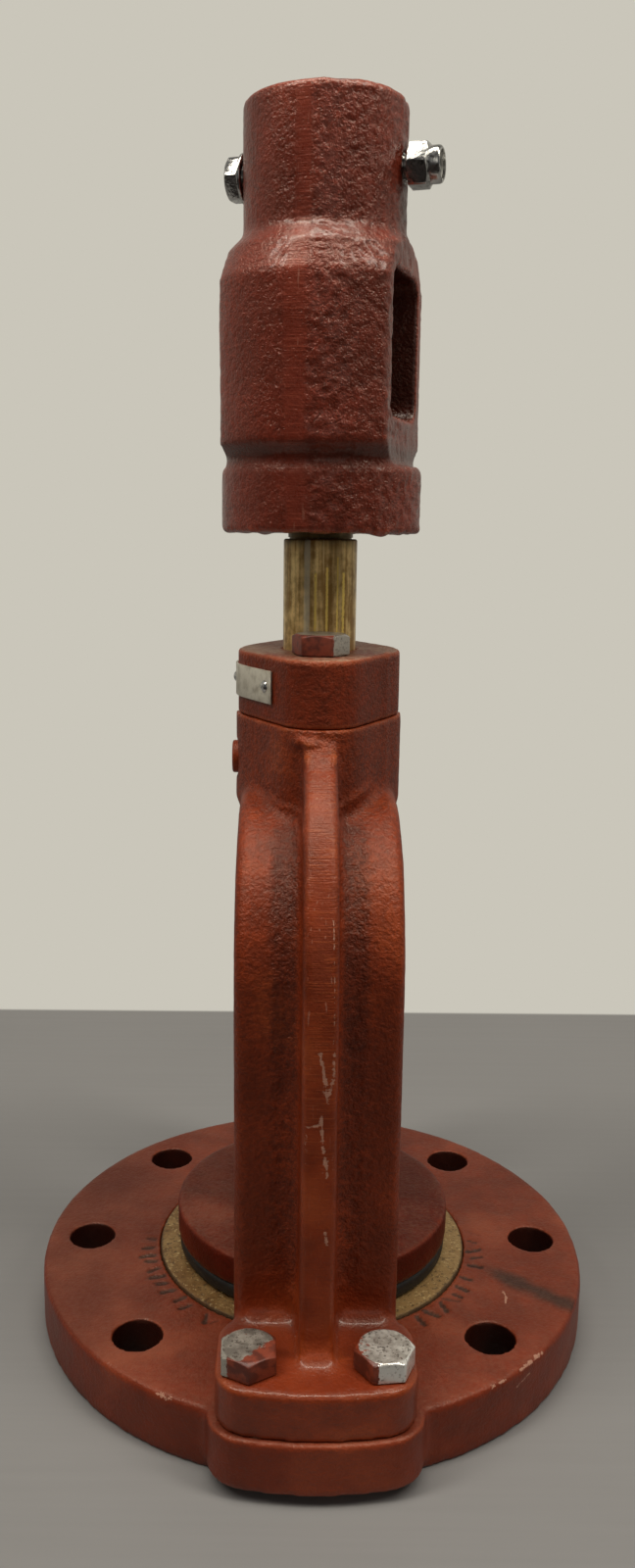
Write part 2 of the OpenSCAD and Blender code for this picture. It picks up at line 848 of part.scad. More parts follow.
// Plate that clamps the seal from below
module seal_retainer() {
  color(bronze)
    difference() {
      translate([0, 0, seal_bottom + retainer_inset])
        cylinder(r = retainer_r, h = seal_t - retainer_inset);
      for (number = [1:4])
        seal_screw_place(number) {
          cylinder(r = screw_r + seat_fit, h = 3 * seal_t, center = true);
          translate([0, 0, -seal_t + retainer_inset - over])
            cylinder(r1 = 2 * screw_r + over + seat_fit, r2 = screw_r + seat_fit,
                     h = screw_r + over);
        }
    }
}

// Places a shape at screw number 1 to 4, at the disc's underside
module seal_screw_place(number) {
  rotate([0, 0, 45 + 90 * (number - 1)])
    translate([screw_ring_r, 0, disc_bottom])
      children();
}

// Countersunk screw of the retainer
module seal_screw(number) {
  head_z = -seal_t + retainer_inset;
  color(bronze)
    seal_screw_place(number) {
      translate([0, 0, head_z])
        cylinder(r1 = 2 * screw_r, r2 = screw_r, h = screw_r);
      translate([0, 0, head_z + screw_r])
        cylinder(r = screw_r, h = seal_t + disc_t - 8 - screw_r);
    }
}

flange();
seat_ring();
yoke();
thrust_cap();
foot_bolt(1);  // foot_bolt_1
foot_bolt(2);  // foot_bolt_2
foot_bolt(3);  // foot_bolt_3
foot_bolt(4);  // foot_bolt_4
cap_bolt(-1);  // cap_bolt_front
cap_bolt(1);  // cap_bolt_rear
nameplate();
nameplate_pin_front_place() drive_pin();  // nameplate_pin_front
nameplate_pin_rear_place() drive_pin();  // nameplate_pin_rear
grease_plug();
stem();
coupling();
stem_washer();
stem_nut();
cross_bolt();
cross_bolt_washer();
lock_nut();
lock_nut_insert();
disc();
disc_nut();
disc_seal();
seal_retainer();
seal_screw(1);  // seal_screw_1
seal_screw(2);  // seal_screw_2
seal_screw(3);  // seal_screw_3
seal_screw(4);  // seal_screw_4
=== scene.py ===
# %% [markdown]
# # A mud valve, finished in Blender
# A mud valve drains a settling tank. Its flange is bolted over a pipe in the tank's floor, and
# a rubber-faced disc sits on a bronze seat in the flange. A yoke stands on the flange and
# carries the stem, which lifts the disc when it is turned.
# The solids come from a CAD model. This lesson gives them the skin of the real thing: rough
# castings under red primer, turned bronze, and plated bolts.

import math

import bmesh
import bpy
import numpy as np
from mathutils import Matrix, Vector


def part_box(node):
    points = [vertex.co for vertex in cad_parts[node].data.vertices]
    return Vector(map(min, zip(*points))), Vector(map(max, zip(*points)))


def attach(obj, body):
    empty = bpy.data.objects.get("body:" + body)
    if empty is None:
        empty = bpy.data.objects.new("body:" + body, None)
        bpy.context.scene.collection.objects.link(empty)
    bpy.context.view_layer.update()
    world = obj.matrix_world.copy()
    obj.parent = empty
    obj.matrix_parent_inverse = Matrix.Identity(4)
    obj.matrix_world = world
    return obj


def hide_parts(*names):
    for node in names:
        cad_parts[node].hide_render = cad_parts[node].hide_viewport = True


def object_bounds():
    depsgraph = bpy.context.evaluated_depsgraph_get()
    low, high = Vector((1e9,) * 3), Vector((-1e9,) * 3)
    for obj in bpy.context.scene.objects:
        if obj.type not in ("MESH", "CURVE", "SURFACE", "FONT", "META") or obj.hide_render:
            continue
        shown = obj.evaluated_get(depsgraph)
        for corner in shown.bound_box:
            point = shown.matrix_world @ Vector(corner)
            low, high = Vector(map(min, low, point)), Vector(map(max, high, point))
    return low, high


MM = 0.001
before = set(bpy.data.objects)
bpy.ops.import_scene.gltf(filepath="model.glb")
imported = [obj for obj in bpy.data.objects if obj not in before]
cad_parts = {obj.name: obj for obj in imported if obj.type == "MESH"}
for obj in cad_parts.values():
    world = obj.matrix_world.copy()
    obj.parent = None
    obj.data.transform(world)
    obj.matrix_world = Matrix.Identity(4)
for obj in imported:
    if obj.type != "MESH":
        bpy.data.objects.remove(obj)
cad_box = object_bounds()
print("the solids measure", [round((b - a) / MM, 1) for a, b in zip(*cad_box)], "mm")

# %% [markdown]
# ## Places
# Everything is placed from the solids' own boxes, so a change of the CAD model carries over.
# The flange's top is called the deck. All lengths are in metres, so a millimetre is 0.001.

# %% Heights and centres
def low(node):
    """The lowest X, Y and Z of a CAD node."""
    return np.array(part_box(node)[0])


def high(node):
    """The highest X, Y and Z of a CAD node."""
    return np.array(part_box(node)[1])


def middle(node):
    """The centre of a CAD node's box."""
    return (low(node) + high(node)) / 2


DECK = high("flange")[2]
CAP_LOW, CAP_TOP = low("thrust_cap")[2], high("thrust_cap")[2]
COUPLING_LOW = low("coupling")[2]
COUPLING_TURN = math.radians(-18)
HOLE_CIRCLE_RADIUS = 95.25 * MM
FLANGE_HOLES = [HOLE_CIRCLE_RADIUS * np.array([math.cos(turn), math.sin(turn)])
                for turn in np.radians([-45, 0, 45, 135, 180, 225])]
FOOT_BOLTS = [f"foot_bolt_{number}" for number in (1, 2, 3, 4)]
print(f"deck {DECK:.4f}, cap {CAP_LOW:.4f} to {CAP_TOP:.4f}, coupling from {COUPLING_LOW:.4f}")

# %% [markdown]
# ## Random roughness
# Cast iron shows the sand that it was poured in. A cheap way to make such a surface is value
# noise: a random number at each corner of a grid of cubes, blended smoothly between the eight
# corners round a point. Adding finer and fainter copies gives the look of real grain. It is
# worked out with numpy, so that it shapes the mesh and not only its shading. A corner's number
# is its coordinates times large odd numbers, with the high bits folded down on the low ones.

# %% Noise for shapes
SCRAMBLE_X, SCRAMBLE_Y, SCRAMBLE_Z = 374761393, 668265263, 1440662683
SCRAMBLE_SEED, SCRAMBLE_AGAIN = 1274126177, 1103515245
LARGEST = 0xFFFFFF


def value_noise(points, seed):
    """Random numbers from -1 to 1 at whole coordinates, blended between by 3t^2 - 2t^3."""
    cell = np.floor(points).astype(np.int64)
    part = points - cell
    blend = part * part * (3 - 2 * part)
    total = np.zeros(len(points))
    for corner in np.ndindex(2, 2, 2):
        x, y, z = (cell + corner).T
        n = x * SCRAMBLE_X + y * SCRAMBLE_Y + z * SCRAMBLE_Z + seed * SCRAMBLE_SEED
        n = (n ^ (n >> 13)) * SCRAMBLE_AGAIN
        n = (n ^ (n >> 16)) & LARGEST
        total += np.where(corner, blend, 1 - blend).prod(axis=1) * n / LARGEST
    return 2 * total - 1


def grain(points, size, octaves=3, seed=0):
    """Value noise with features of one size, plus copies half as large and 0.55 as strong."""
    total = np.zeros(len(points))
    strength = 1.0
    for octave in range(octaves):
        at = points / size * 2**octave + 17.3 * octave
        total += strength * value_noise(at, seed + octave)
        strength *= 0.55
    return total


def ramp(value, start, end):
    """0 at the start, 1 at the end, and 3t^2 - 2t^3 between them."""
    t = np.clip((value - start) / (end - start), 0, 1)
    return t * t * (3 - 2 * t)


def bell(value, centre, half_width):
    """1 at the centre, falling smoothly to 0 at the half width."""
    return 1 - ramp(np.abs(value - centre), 0, half_width)


sample = grain(np.random.default_rng(1).random((1000, 3)), 50 * MM)
print(f"grain runs from {sample.min():.2f} to {sample.max():.2f}")

# %% [markdown]
# ## From arrays to meshes
# Two helpers turn numpy arrays into meshes. One takes points and faces. The other takes rings:
# rows of points round an axis, joined to a closed skin. Its ends are drawn together to a
# point, or its last row meets the first, as on a washer. Edges sharper than 38 degrees are
# drawn hard. Numbers that a finish needs, such as how much paint has landed, are stored at the
# points as named attributes.

# %% Objects and meshes
SHARP = math.radians(38)


def in_scene(name, data):
    """A new object in the scene that holds a mesh, a lamp or a camera."""
    made = bpy.data.objects.new(name, data)
    bpy.context.scene.collection.objects.link(made)
    return made


def skin_object(name, mesh, body, stands_for):
    """An object that rides on a body and takes the place of CAD nodes."""
    made = in_scene(name, mesh)
    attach(made, body)
    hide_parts(*stands_for)
    print(f"{name}: {len(mesh.vertices)} points, {len(mesh.polygons)} faces")
    return made


def faced_mesh(name, points, faces, numbers):
    """A smooth mesh from points, faces and named numbers at its points."""
    mesh = bpy.data.meshes.new(name)
    mesh.from_pydata(points.tolist(), [], faces.tolist())
    mesh.shade_smooth()
    for key, values in numbers.items():
        layer = mesh.attributes.new(key, "FLOAT", "POINT")
        layer.data.foreach_set("value", np.asarray(values, np.float32).ravel())
    return mesh


def weld(mesh):
    """Merges points that lie on each other."""
    work = bmesh.new()
    work.from_mesh(mesh)
    bmesh.ops.remove_doubles(work, verts=work.verts, dist=1e-7)
    bmesh.ops.dissolve_degenerate(work, edges=work.edges, dist=1e-8)
    work.to_mesh(mesh)
    work.free()


def changed(mesh, kind, **settings):
    """The mesh after one modifier."""
    holder = in_scene("holder", mesh)
    modifier = holder.modifiers.new("change", kind)
    for key, value in settings.items():
        setattr(modifier, key, value)
    graph = bpy.context.evaluated_depsgraph_get()
    result = bpy.data.meshes.new_from_object(holder.evaluated_get(graph))
    bpy.data.objects.remove(holder)
    return result


# %% Rings
def ring_skin(name, rings, body, stands_for, numbers=None, looped=False):
    """A skin over rings: rows x columns x 3, where rows run up an outer wall and columns run
    anticlockwise. Each square joins two neighbours in one row to the same two in the next."""
    rows, columns, _ = rings.shape
    row, column = np.meshgrid(np.arange(rows if looped else rows - 1), np.arange(columns),
                              indexing="ij")
    above, beside = (row + 1) % rows, (column + 1) % columns
    corners = [row * columns + column, row * columns + beside,
               above * columns + beside, above * columns + column]
    faces = np.stack(corners, axis=-1).reshape(-1, 4)
    mesh = faced_mesh(name, rings.reshape(-1, 3), faces, numbers or {})
    weld(mesh)
    mesh.set_sharp_from_angle(angle=SHARP)
    return skin_object(name, mesh, body, stands_for)


COLUMNS = 96
AROUND = np.linspace(0, 2 * math.pi, COLUMNS, endpoint=False)


def revolve(profile, turn=AROUND):
    """Rings from pairs of radius and height. Either may be one number or one per column."""
    rings = []
    for radius, height in profile:
        radius, height = np.broadcast_arrays(radius, height, turn)[:2]
        rings.append(np.stack([radius * np.cos(turn), radius * np.sin(turn), height], axis=-1))
    return np.array(rings)


def stood_on(rings, origin, axis, right):
    """Moves rings from the upright axis to another axis. `right` is where their X goes."""
    axis, right = np.array(axis, float), np.array(right, float)
    axes = np.array([right, np.cross(axis, right), axis])
    return rings @ axes + np.array(origin)


print(f"round pieces have {COLUMNS} columns, {360 / COLUMNS} degrees apart")

# %% [markdown]
# ## Castings
# A casting has no sharp edges: sand crumbles at its corners, and the pattern maker rounds every
# hollow so that the iron can flow. Bevels would have to be set edge by edge. Instead the
# solid is rebuilt as an even net of small squares, and the net is relaxed. Each point moves
# towards the middle of its neighbours, first only in the hollows, which grows fillets
# there, and then everywhere, which rounds the edges. Last, the grain pushes points in and out.

# %% Reading a net
def even_net(node, size):
    """Points, edges and squares of a CAD node rebuilt as a net with squares of that size."""
    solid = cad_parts[node].data.copy()
    weld(solid)
    net = changed(solid, "REMESH", mode="VOXEL", voxel_size=size)
    points = np.zeros(len(net.vertices) * 3, np.float32)
    net.vertices.foreach_get("co", points)
    edges = np.zeros(len(net.edges) * 2, np.int32)
    net.edges.foreach_get("vertices", edges)
    corners = np.zeros(len(net.loops), np.int32)
    net.loops.foreach_get("vertex_index", corners)
    return points.reshape(-1, 3).astype(float), edges.reshape(-1, 2), corners.reshape(-1, 4)


def gathered(index, rows, count):
    """Sums rows of three numbers by index."""
    return np.stack([np.bincount(index, rows[:, k], count) for k in range(3)], axis=1)


def pull(points, edges):
    """Vector from each point to the middle of its neighbours."""
    count = len(points)
    a, b = edges.T
    total = gathered(a, points[b], count) + gathered(b, points[a], count)
    neighbours = np.bincount(a, minlength=count) + np.bincount(b, minlength=count)
    return total / neighbours[:, None] - points


def outward_of(points, squares):
    """Unit normals at the points, from the crossed diagonals of the squares round each."""
    a, b, c, d = (points[squares[:, k]] for k in range(4))
    face = np.cross(c - a, d - b)
    total = sum(gathered(squares[:, k], face, len(points)) for k in range(4))
    return total / np.maximum(np.linalg.norm(total, axis=1), 1e-12)[:, None]


def averaged(values, edges, rounds):
    """Averages a number over the neighbours of each point, some rounds over."""
    count = len(values)
    a, b = edges.T
    share = np.bincount(a, minlength=count) + np.bincount(b, minlength=count) + 1
    for _ in range(rounds):
        values = (values + np.bincount(a, values[b], count)
                  + np.bincount(b, values[a], count)) / share
    return values


# %% Making a casting
FILLET_PACE, ROUND_PACE, RENEW = 0.6, 0.5, 8
SMOOTHING = 8 * [0.5, -0.52]


def casting(node, body, size, fillet, softness, surface, fixed):
    """A casting's skin over a CAD node, with hollows filled and edges rounded.

    Relaxing spreads like heat, so it takes rounds in proportion to the square of a width
    measured in net squares: fillet and softness are such widths in metres. The smoothing's
    steps go in and out by turns, and take away the net's own ripple without shrinking.
    fixed(points) is 1 where a bore must keep its size. surface(points, outward) gives the
    grain's height and three numbers for the finish: how sandy it is, how much filing and painted
    highlight it has, and how much dirt and painted shade.
    How sharply the skin bends is the pull outwards over the square of the net's size.
    """
    points, edges, squares = even_net(node, size)
    free = 1 - fixed(points)
    for step in range(round((fillet / size)**2)):
        if step % RENEW == 0:
            outward = outward_of(points, squares)
        move = pull(points, edges)
        hollow = ramp((move * outward).sum(axis=1), 0, 0.02 * size)
        points = points + move * (FILLET_PACE * hollow * free)[:, None]
    rounding = round((softness / size)**2) * [ROUND_PACE]
    for share in rounding + SMOOTHING:
        points = points + pull(points, edges) * (share * free)[:, None]
    outward = outward_of(points, squares)
    height, sand, filed_and_highlit, dirt_and_shade = surface(points, outward)
    points = points + outward * (height * free)[:, None]
    points = np.clip(points, *cad_box)
    bend = -(pull(points, edges) * outward).sum(axis=1) / size**2 * MM
    bend = averaged(bend, edges, 4)
    numbers = {"edge": ramp(bend, 0.02, 0.10), "hollow": ramp(-bend, 0.01, 0.07),
               "up": ramp(outward[:, 2], 0.75, 0.97),
               "sand": sand, "filed_and_highlit": filed_and_highlit, "dirt_and_shade": dirt_and_shade}
    mesh = faced_mesh(node + "_casting", points, squares, numbers)
    return skin_object(node + "_casting", mesh, body, [node])


# %% [markdown]
# ## Writing finishes as sums
# A finish is a graph of shader nodes. Wiring it by hand hides the idea, so a small class wraps
# an output socket and lets Python's own + - * / add the Math nodes. One method makes any other
# node from its type, its settings and what goes into its sockets.

# %% Sockets that can be added and multiplied
class Wire:
    """An output of a shader node that can be added, multiplied and so on."""

    def __init__(self, finish, socket):
        self.finish = finish
        self.socket = socket

    def maths(self, operation, first, second):
        """A Math node."""
        return self.finish.node("ShaderNodeMath", {"operation": operation}, {0: first, 1: second})

    def __add__(self, other):
        return self.maths("ADD", self, other)

    def __radd__(self, other):
        return self.maths("ADD", other, self)

    def __sub__(self, other):
        return self.maths("SUBTRACT", self, other)

    def __rsub__(self, other):
        return self.maths("SUBTRACT", other, self)

    def __mul__(self, other):
        return self.maths("MULTIPLY", self, other)

    def __rmul__(self, other):
        return self.maths("MULTIPLY", other, self)

    def __truediv__(self, other):
        return self.maths("DIVIDE", self, other)

    def __rtruediv__(self, other):
        return self.maths("DIVIDE", other, self)

    def at_least(self, other):
        """The larger of two numbers."""
        return self.maths("MAXIMUM", self, other)

    def step(self, start, end):
        """0 at the start and below, 1 at the end and above, smooth between."""
        return self.finish.node("ShaderNodeMapRange", {"interpolation_type": "SMOOTHSTEP"},
                                {"Value": self, "From Min": start, "From Max": end})


# %% Finishes
class Finish:
    """A material: a Principled shader and the nodes that feed it."""

    def __init__(self, name, **constants):
        self.material = bpy.data.materials.new(name)
        self.material.use_nodes = True
        self.tree = self.material.node_tree
        self.shader = self.tree.nodes["Principled BSDF"]
        for socket, value in constants.items():
            self.shader.inputs[socket.replace("_", " ")].default_value = value
        self.place = self.node("ShaderNodeTexCoord", out="Object")

    def node(self, kind, settings=None, sockets=None, out=0):
        """Adds a node, sets it, fills its sockets, and returns the output asked for."""
        made = self.tree.nodes.new(kind)
        for key, value in (settings or {}).items():
            setattr(made, key, value)
        for key, value in (sockets or {}).items():
            self.fill(made.inputs[key], value)
        return Wire(self, made.outputs[out])

    def fill(self, socket, value):
        """Links a wire to a socket, or sets the socket to a plain value."""
        if isinstance(value, Wire):
            self.tree.links.new(value.socket, socket)
        else:
            socket.default_value = value

    def noise(self, size, detail=3, roughness=0.55, stretch=(1, 1, 1), shift=0.0):
        """Noise from 0 to 1 with features of that size in metres, drawn out by stretch."""
        scale = [1 / (size * s) for s in stretch]
        at = self.node("ShaderNodeMapping", {}, {"Vector": self.place, "Scale": scale,
                                                 "Location": (shift, shift * 0.7, shift * 1.3)})
        return self.node("ShaderNodeTexNoise", {},
                         {"Vector": at, "Scale": 1.0, "Detail": detail, "Roughness": roughness})

    def along(self, axis):
        """One of the coordinates X, Y or Z in metres."""
        return self.node("ShaderNodeSeparateXYZ", {}, {0: self.place}, axis)

    def mix(self, share, first, second):
        """A colour between two colours."""
        return self.node("ShaderNodeMix", {"data_type": "RGBA"}, {0: share, 6: first, 7: second}, 2)

    def number(self, name):
        """A number that the mesh carries at its points."""
        return self.node("ShaderNodeAttribute", {"attribute_name": name}, {}, "Fac")

    def vector(self, operation, first, second, out=0):
        """A Vector Math node."""
        return self.node("ShaderNodeVectorMath", {"operation": operation},
                         {0: first, 1: second}, out)

    def lines(self, places, ragged, seen=(1, 1, 1)):
        """1 on straight lines and 0 beyond their ragged borders. Each is a start, an end and
        half a width, all in mm. The point of a line that is nearest is start + t (end - start),
        with t held between 0 and 1. `seen` is 0 for an axis that doesn't count."""
        total = 0.0 * ragged
        for start, end, half_width in places:
            start, run = MM * Vector(start), MM * (Vector(end) - Vector(start))
            away = self.vector("SUBTRACT", self.place, start)
            share = self.vector("DOT_PRODUCT", away, run / run.length_squared, "Value")
            share = self.node("ShaderNodeClamp", {}, {"Value": share})
            away = self.vector("SUBTRACT", away, self.vector("MULTIPLY", share, run))
            away = self.vector("MULTIPLY", away, seen)
            distance = self.vector("LENGTH", away, (0, 0, 0), "Value")
            total = total.at_least(1 - (distance / (half_width * MM) + ragged).step(0.7, 1.1))
        return total

    def rays(self, kind):
        """1 for rays of one kind, such as Camera or Glossy, and 0 for others."""
        return self.node("ShaderNodeLightPath", {}, {}, f"Is {kind} Ray")

    def glow(self, tone):
        """A shader that gives off a colour, whatever light falls on it."""
        return self.node("ShaderNodeEmission", {}, {"Color": tone})

    def shade(self, share, first, second):
        """A shader between two shaders."""
        return self.node("ShaderNodeMixShader", {}, {0: share, 1: first, 2: second})

    def shaded(self):
        """The Principled shader's own output, to be mixed with another shader."""
        return Wire(self, self.shader.outputs[0])

    def show(self, shader):
        """Puts a shader in the place of the Principled one."""
        self.tree.links.new(shader.socket, self.tree.nodes["Material Output"].inputs["Surface"])

    def raised(self, height):
        """A normal that tilts as if the surface rose by this height in millimetres."""
        return self.node("ShaderNodeBump", {}, {"Height": height, "Distance": MM})

    def done(self, **sockets):
        """Feeds the shader's sockets and returns the material."""
        for socket, value in sockets.items():
            self.fill(self.shader.inputs[socket.replace("_", " ")], value)
        return self.material


def colour(red, green, blue):
    """A colour given as on a screen, 0 to 255, as the linear light that shaders use."""
    def linear(value):
        value /= 255
        return value / 12.92 if value <= 0.04045 else ((value + 0.055) / 1.055)**2.4
    return (linear(red), linear(green), linear(blue), 1.0)


print("middle grey on a screen is", round(colour(128, 128, 128)[0], 3), "of white in light")

# %% [markdown]
# ## Primer over cast iron
# The castings are sprayed with red-oxide primer. It is thin and half glossy. On outward edges
# it wears lighter, in hollows it is darker, and chips show a pale undercoat. Where the mesh
# says, it also takes dirt, painted shade and painted highlights. One function makes the finish
# for all castings from their colours. The finest sand grain is finer than the net, so it is
# bump, as strong as the mesh's own "sand" number says.

# %% Primer
UNDERCOAT, DUST = colour(190, 142, 120), colour(168, 142, 118)
WARM_SHINE = (1.0, 0.87, 0.74, 1.0)


def primer(name, main, worn, dark_tone, gloss, chips, dust=0.1, blotch=0.5, scratches=(),
           grease_and_shade=colour(30, 12, 9), shine=0.4, coat=0.0, coated_to=1.0):
    """Primer that is worn on edges, darker in hollows, and sandy, marked by filing and painted
    with highlights where the mesh says. Dust lies on what faces up. Up to a height the paint is
    thick and wet-looking. The steps are, in order: numbers from the mesh and noise, the paint's
    colours, the marks that show the undercoat, dirt with painted shade and dust, and last the
    shine and the bumps."""
    f = Finish(name, Specular_IOR_Level=shine, Specular_Tint=WARM_SHINE, Coat_Roughness=0.14)
    edge, hollow, up = f.number("edge"), f.number("hollow"), f.number("up")
    sand, filed_and_highlit, dirt_and_shade = f.number("sand"), f.number("filed_and_highlit"), f.number("dirt_and_shade")
    cloud = f.noise(0.040, 3, shift=0.3)
    patch = f.noise(0.009, 4, 0.6, shift=1.7)
    speck = f.noise(0.0019, 4, 0.65, shift=4.1)
    coarse = f.noise(0.0021, 3, 0.6, shift=7.0)
    fine = f.noise(0.0010, 2, 0.55, shift=2.2)
    lines = f.noise(0.00045, 2, 0.5, stretch=(22, 22, 1), shift=5.0)
    scratch = f.noise(0.0011, 2, 0.5, stretch=(1, 1, 11), shift=3.3)

    tone = f.mix((cloud * 0.65 + patch * 0.35).step(0.36, 0.66), dark_tone, main)
    tone = f.mix(0.40, tone, main)
    tone = f.mix(cloud.step(0.52, 0.72) * 0.4, tone, worn)
    # Darker in the pits of coarse sand, and further down, darker in hollows.
    tone = f.mix(sand * (0.60 - coarse).step(0.0, 0.22) * blotch, tone, dark_tone)
    tone = f.mix((edge * (patch + 0.45)).step(0.15, 0.95) * 0.6, tone, worn)
    tone = f.mix((hollow * (patch + 0.35)).step(0.1, 0.9) * 0.5, tone, dark_tone)
    tone = f.mix(speck.step(0.60, 0.74) * 0.16, tone, worn)
    tone = f.mix(filed_and_highlit * lines.step(0.5, 0.7) * 0.5, tone, worn)

    scraped = filed_and_highlit * (scratch * 0.7 + patch * 0.3).step(0.62, 0.66)
    flake = (f.noise(0.0050, 5, 0.7, shift=9.2) + edge * 0.13).step(chips, chips + 0.012)
    ragged = (f.noise(0.0016, 4, 0.7, shift=6.6) - 0.46) * 6
    marks = (flake * 0.8).at_least(f.lines(scratches, ragged) * 0.8)
    tone = f.mix(marks.at_least(scraped * 0.3), tone, UNDERCOAT)

    # Dirt and painted shade, as much as the mesh's number says, in the darkest colour given.
    tone = f.mix((dirt_and_shade * (patch + 0.5)).step(0.1, 0.9) * 0.85, tone, grease_and_shade)
    lying = up * (cloud * 0.5 + speck * 0.5).step(0.35, 0.65) * dust
    tone = f.mix(lying, tone, DUST)

    rough = 1 - gloss - edge * 0.06 - hollow * 0.12 + (patch - 0.5) * 0.2 + (fine - 0.5) * 0.1
    height = (sand * (coarse * 0.80 + fine * 0.50) + (1 - sand) * (coarse * 0.14 + fine * 0.14)
              + filed_and_highlit * (lines * 0.16) - marks * 0.10)
    wet = (0.5 + fine) * coat * (1 - f.along("Z").step(coated_to, coated_to + 0.012))
    return f.done(Base_Color=tone, Roughness=rough, Normal=f.raised(height), Coat_Weight=wet)


# %% [markdown]
# ## Scratches and paints
# Chips turn up anywhere, but scratches lie where things were knocked and dragged along the
# casting: on the flange's rim and on the face of the front rib. Each is a short straight
# line from one point to another, in mm, with half its width. The castings' paints differ a
# little in colour, gloss and wear.

# %% Scratches
DECK_MM = DECK / MM
FLANGE_MARKS = [((75.9, -84.5, DECK_MM - 0.9), (85.6, -74.8, DECK_MM - 0.9), 0.7),
                ((64.5, -93.6, DECK_MM - 0.9), (69.4, -90.0, DECK_MM - 0.9), 0.6),
                ((-56.5, -99.0, DECK_MM - 0.7), (-51.5, -101.6, DECK_MM - 0.7), 0.9),
                ((77.1, -37.6, DECK_MM), (77.7, -42.0, DECK_MM), 0.5),
                ((77.7, -42.0, DECK_MM), (76.6, -46.0, DECK_MM), 0.5),
                ((74.5, -86.6, DECK_MM - 6.5), (80.5, -81.1, DECK_MM - 4.5), 0.4),
                ((28.0, -123.3, DECK_MM - 7.5), (33.0, -121.9, DECK_MM - 3.0), 0.5),
                ((34.0, -121.2, DECK_MM - 5.0), (36.5, -119.0, DECK_MM - 1.0), 0.6),
                ((-25.0, -120.0, DECK_MM), (-19.0, -121.6, DECK_MM), 0.4)]
YOKE_MARKS = [((0, -106, 156), (1.6, -106, 148), 0.6),
              ((1.6, -106, 148), (2.4, -106, 139), 0.8),
              ((5.0, -106, 157), (4.4, -106, 147), 0.6),
              ((4.4, -106, 147), (2.2, -106, 140), 0.8),
              ((-4.2, -106, 130), (0.6, -106, 131), 0.5),
              ((-4.6, -106, 127), (-4.9, -106, 117), 0.5),
              ((0.6, -106, 134), (1.4, -106, 121), 0.6),
              ((1.9, -106, 119), (2.8, -106, 112), 0.8),
              ((4.9, -106, 120), (5.0, -106, 109), 0.4),
              ((2.5, -106, 91), (2.9, -106, 87), 0.6),
              ((4.4, -106, 160), (4.6, -105.8, 173), 0.35),
              ((4.6, -105.8, 173), (4.3, -103.4, 188), 0.3),
              ((4.3, -103.4, 188), (3.9, -99, 200), 0.25),
              ((13.5, -123.4, 41), (20.5, -122.8, 41), 0.6)]
print(len(FLANGE_MARKS), "scratches on the flange and", len(YOKE_MARKS), "on the yoke")

# %% The paint of each casting
flange_paint = primer("flange_primer", colour(127, 44, 17), colour(155, 72, 41),
                      colour(82, 29, 13), gloss=0.55, chips=0.745, scratches=FLANGE_MARKS)
# On the yoke, the darkest colour given below paints only shade: in the channels, low on the legs,
# on the feet and over the lip.
yoke_paint = primer("yoke_primer", colour(147, 54, 17), colour(167, 80, 38),
                    colour(81, 26, 8), gloss=0.56, chips=0.77, dust=0.0, blotch=0.6,
                    scratches=YOKE_MARKS, grease_and_shade=colour(58, 20, 14),
                    coat=0.22, coated_to=DECK + 26 * MM)
cap_paint = primer("cap_primer", colour(141, 48, 16), colour(166, 76, 38),
                   colour(75, 27, 9), gloss=0.52, chips=0.77, dust=1.0, blotch=0.6)
coupling_paint = primer("coupling_primer", colour(143, 53, 33), colour(168, 79, 57),
                        colour(86, 33, 20), gloss=0.70, chips=0.80, dust=0.2, blotch=0.42,
                        grease_and_shade=colour(48, 15, 8), shine=0.45, coat=0.24)
disc_paint = primer("disc_primer", colour(102, 25, 5), colour(131, 50, 23),
                    colour(60, 17, 5), gloss=0.54, chips=0.77, dust=0.15,
                    grease_and_shade=colour(52, 12, 4), shine=0.25)
PAINTS = (flange_paint, yoke_paint, cap_paint, coupling_paint, disc_paint)
print("paints:", ", ".join(paint.name for paint in PAINTS))

# %% [markdown]
# ## The five castings
# Each casting has its own surface, which is a function of the points and their normals. Bores
# keep their size, so nothing is relaxed round them. The flange has marks of work and use, and
# the disc and the cap are plain.

# %% Bores that stay round
def near_axis(points, centre, inner, outer):
    """1 within the inner distance of an upright axis, 0 beyond the outer, smooth between."""
    away = np.hypot(points[:, 0] - centre[0], points[:, 1] - centre[1])
    return 1 - ramp(away, inner, outer)


def nothing_fixed(points):
    """0 everywhere, for a casting without a machined bore."""
    return np.zeros(len(points))


def flange_fixed(points):
    """1 in the waterway, in the seat's groove and in the bolt holes."""
    held = near_axis(points, (0, 0), 67 * MM, 68 * MM)
    for centre in FLANGE_HOLES:
        held = np.maximum(held, near_axis(points, centre, 9.8 * MM, 11.5 * MM))
    return held


def yoke_fixed(points):
    """1 round the stem and in the bolt holes, and most of 1 at the joint under the cap."""
    held = near_axis(points, (0, 0), 18.5 * MM, 20.5 * MM)
    for bolt in FOOT_BOLTS:
        held = np.maximum(held, near_axis(points, middle(bolt), 8 * MM, 9.5 * MM))
    under_cap = ramp(points[:, 2], CAP_LOW - 1.8 * MM, CAP_LOW - 0.4 * MM)
    return np.maximum(held, 0.8 * under_cap)


def cap_fixed(points):
    """1 round the stem, and most of 1 at the joint on the yoke."""
    at_joint = 1 - ramp(points[:, 2], CAP_LOW + 0.4 * MM, CAP_LOW + 1.8 * MM)
    return np.maximum(near_axis(points, (0, 0), 15.5 * MM, 17 * MM), 0.8 * at_joint)


def disc_fixed(points):
    """1 in the hub's bore, well above the deck."""
    hub = near_axis(points, (0, 0), 19 * MM, 21 * MM)
    return np.where(points[:, 2] > DECK + 30 * MM, hub, 0)


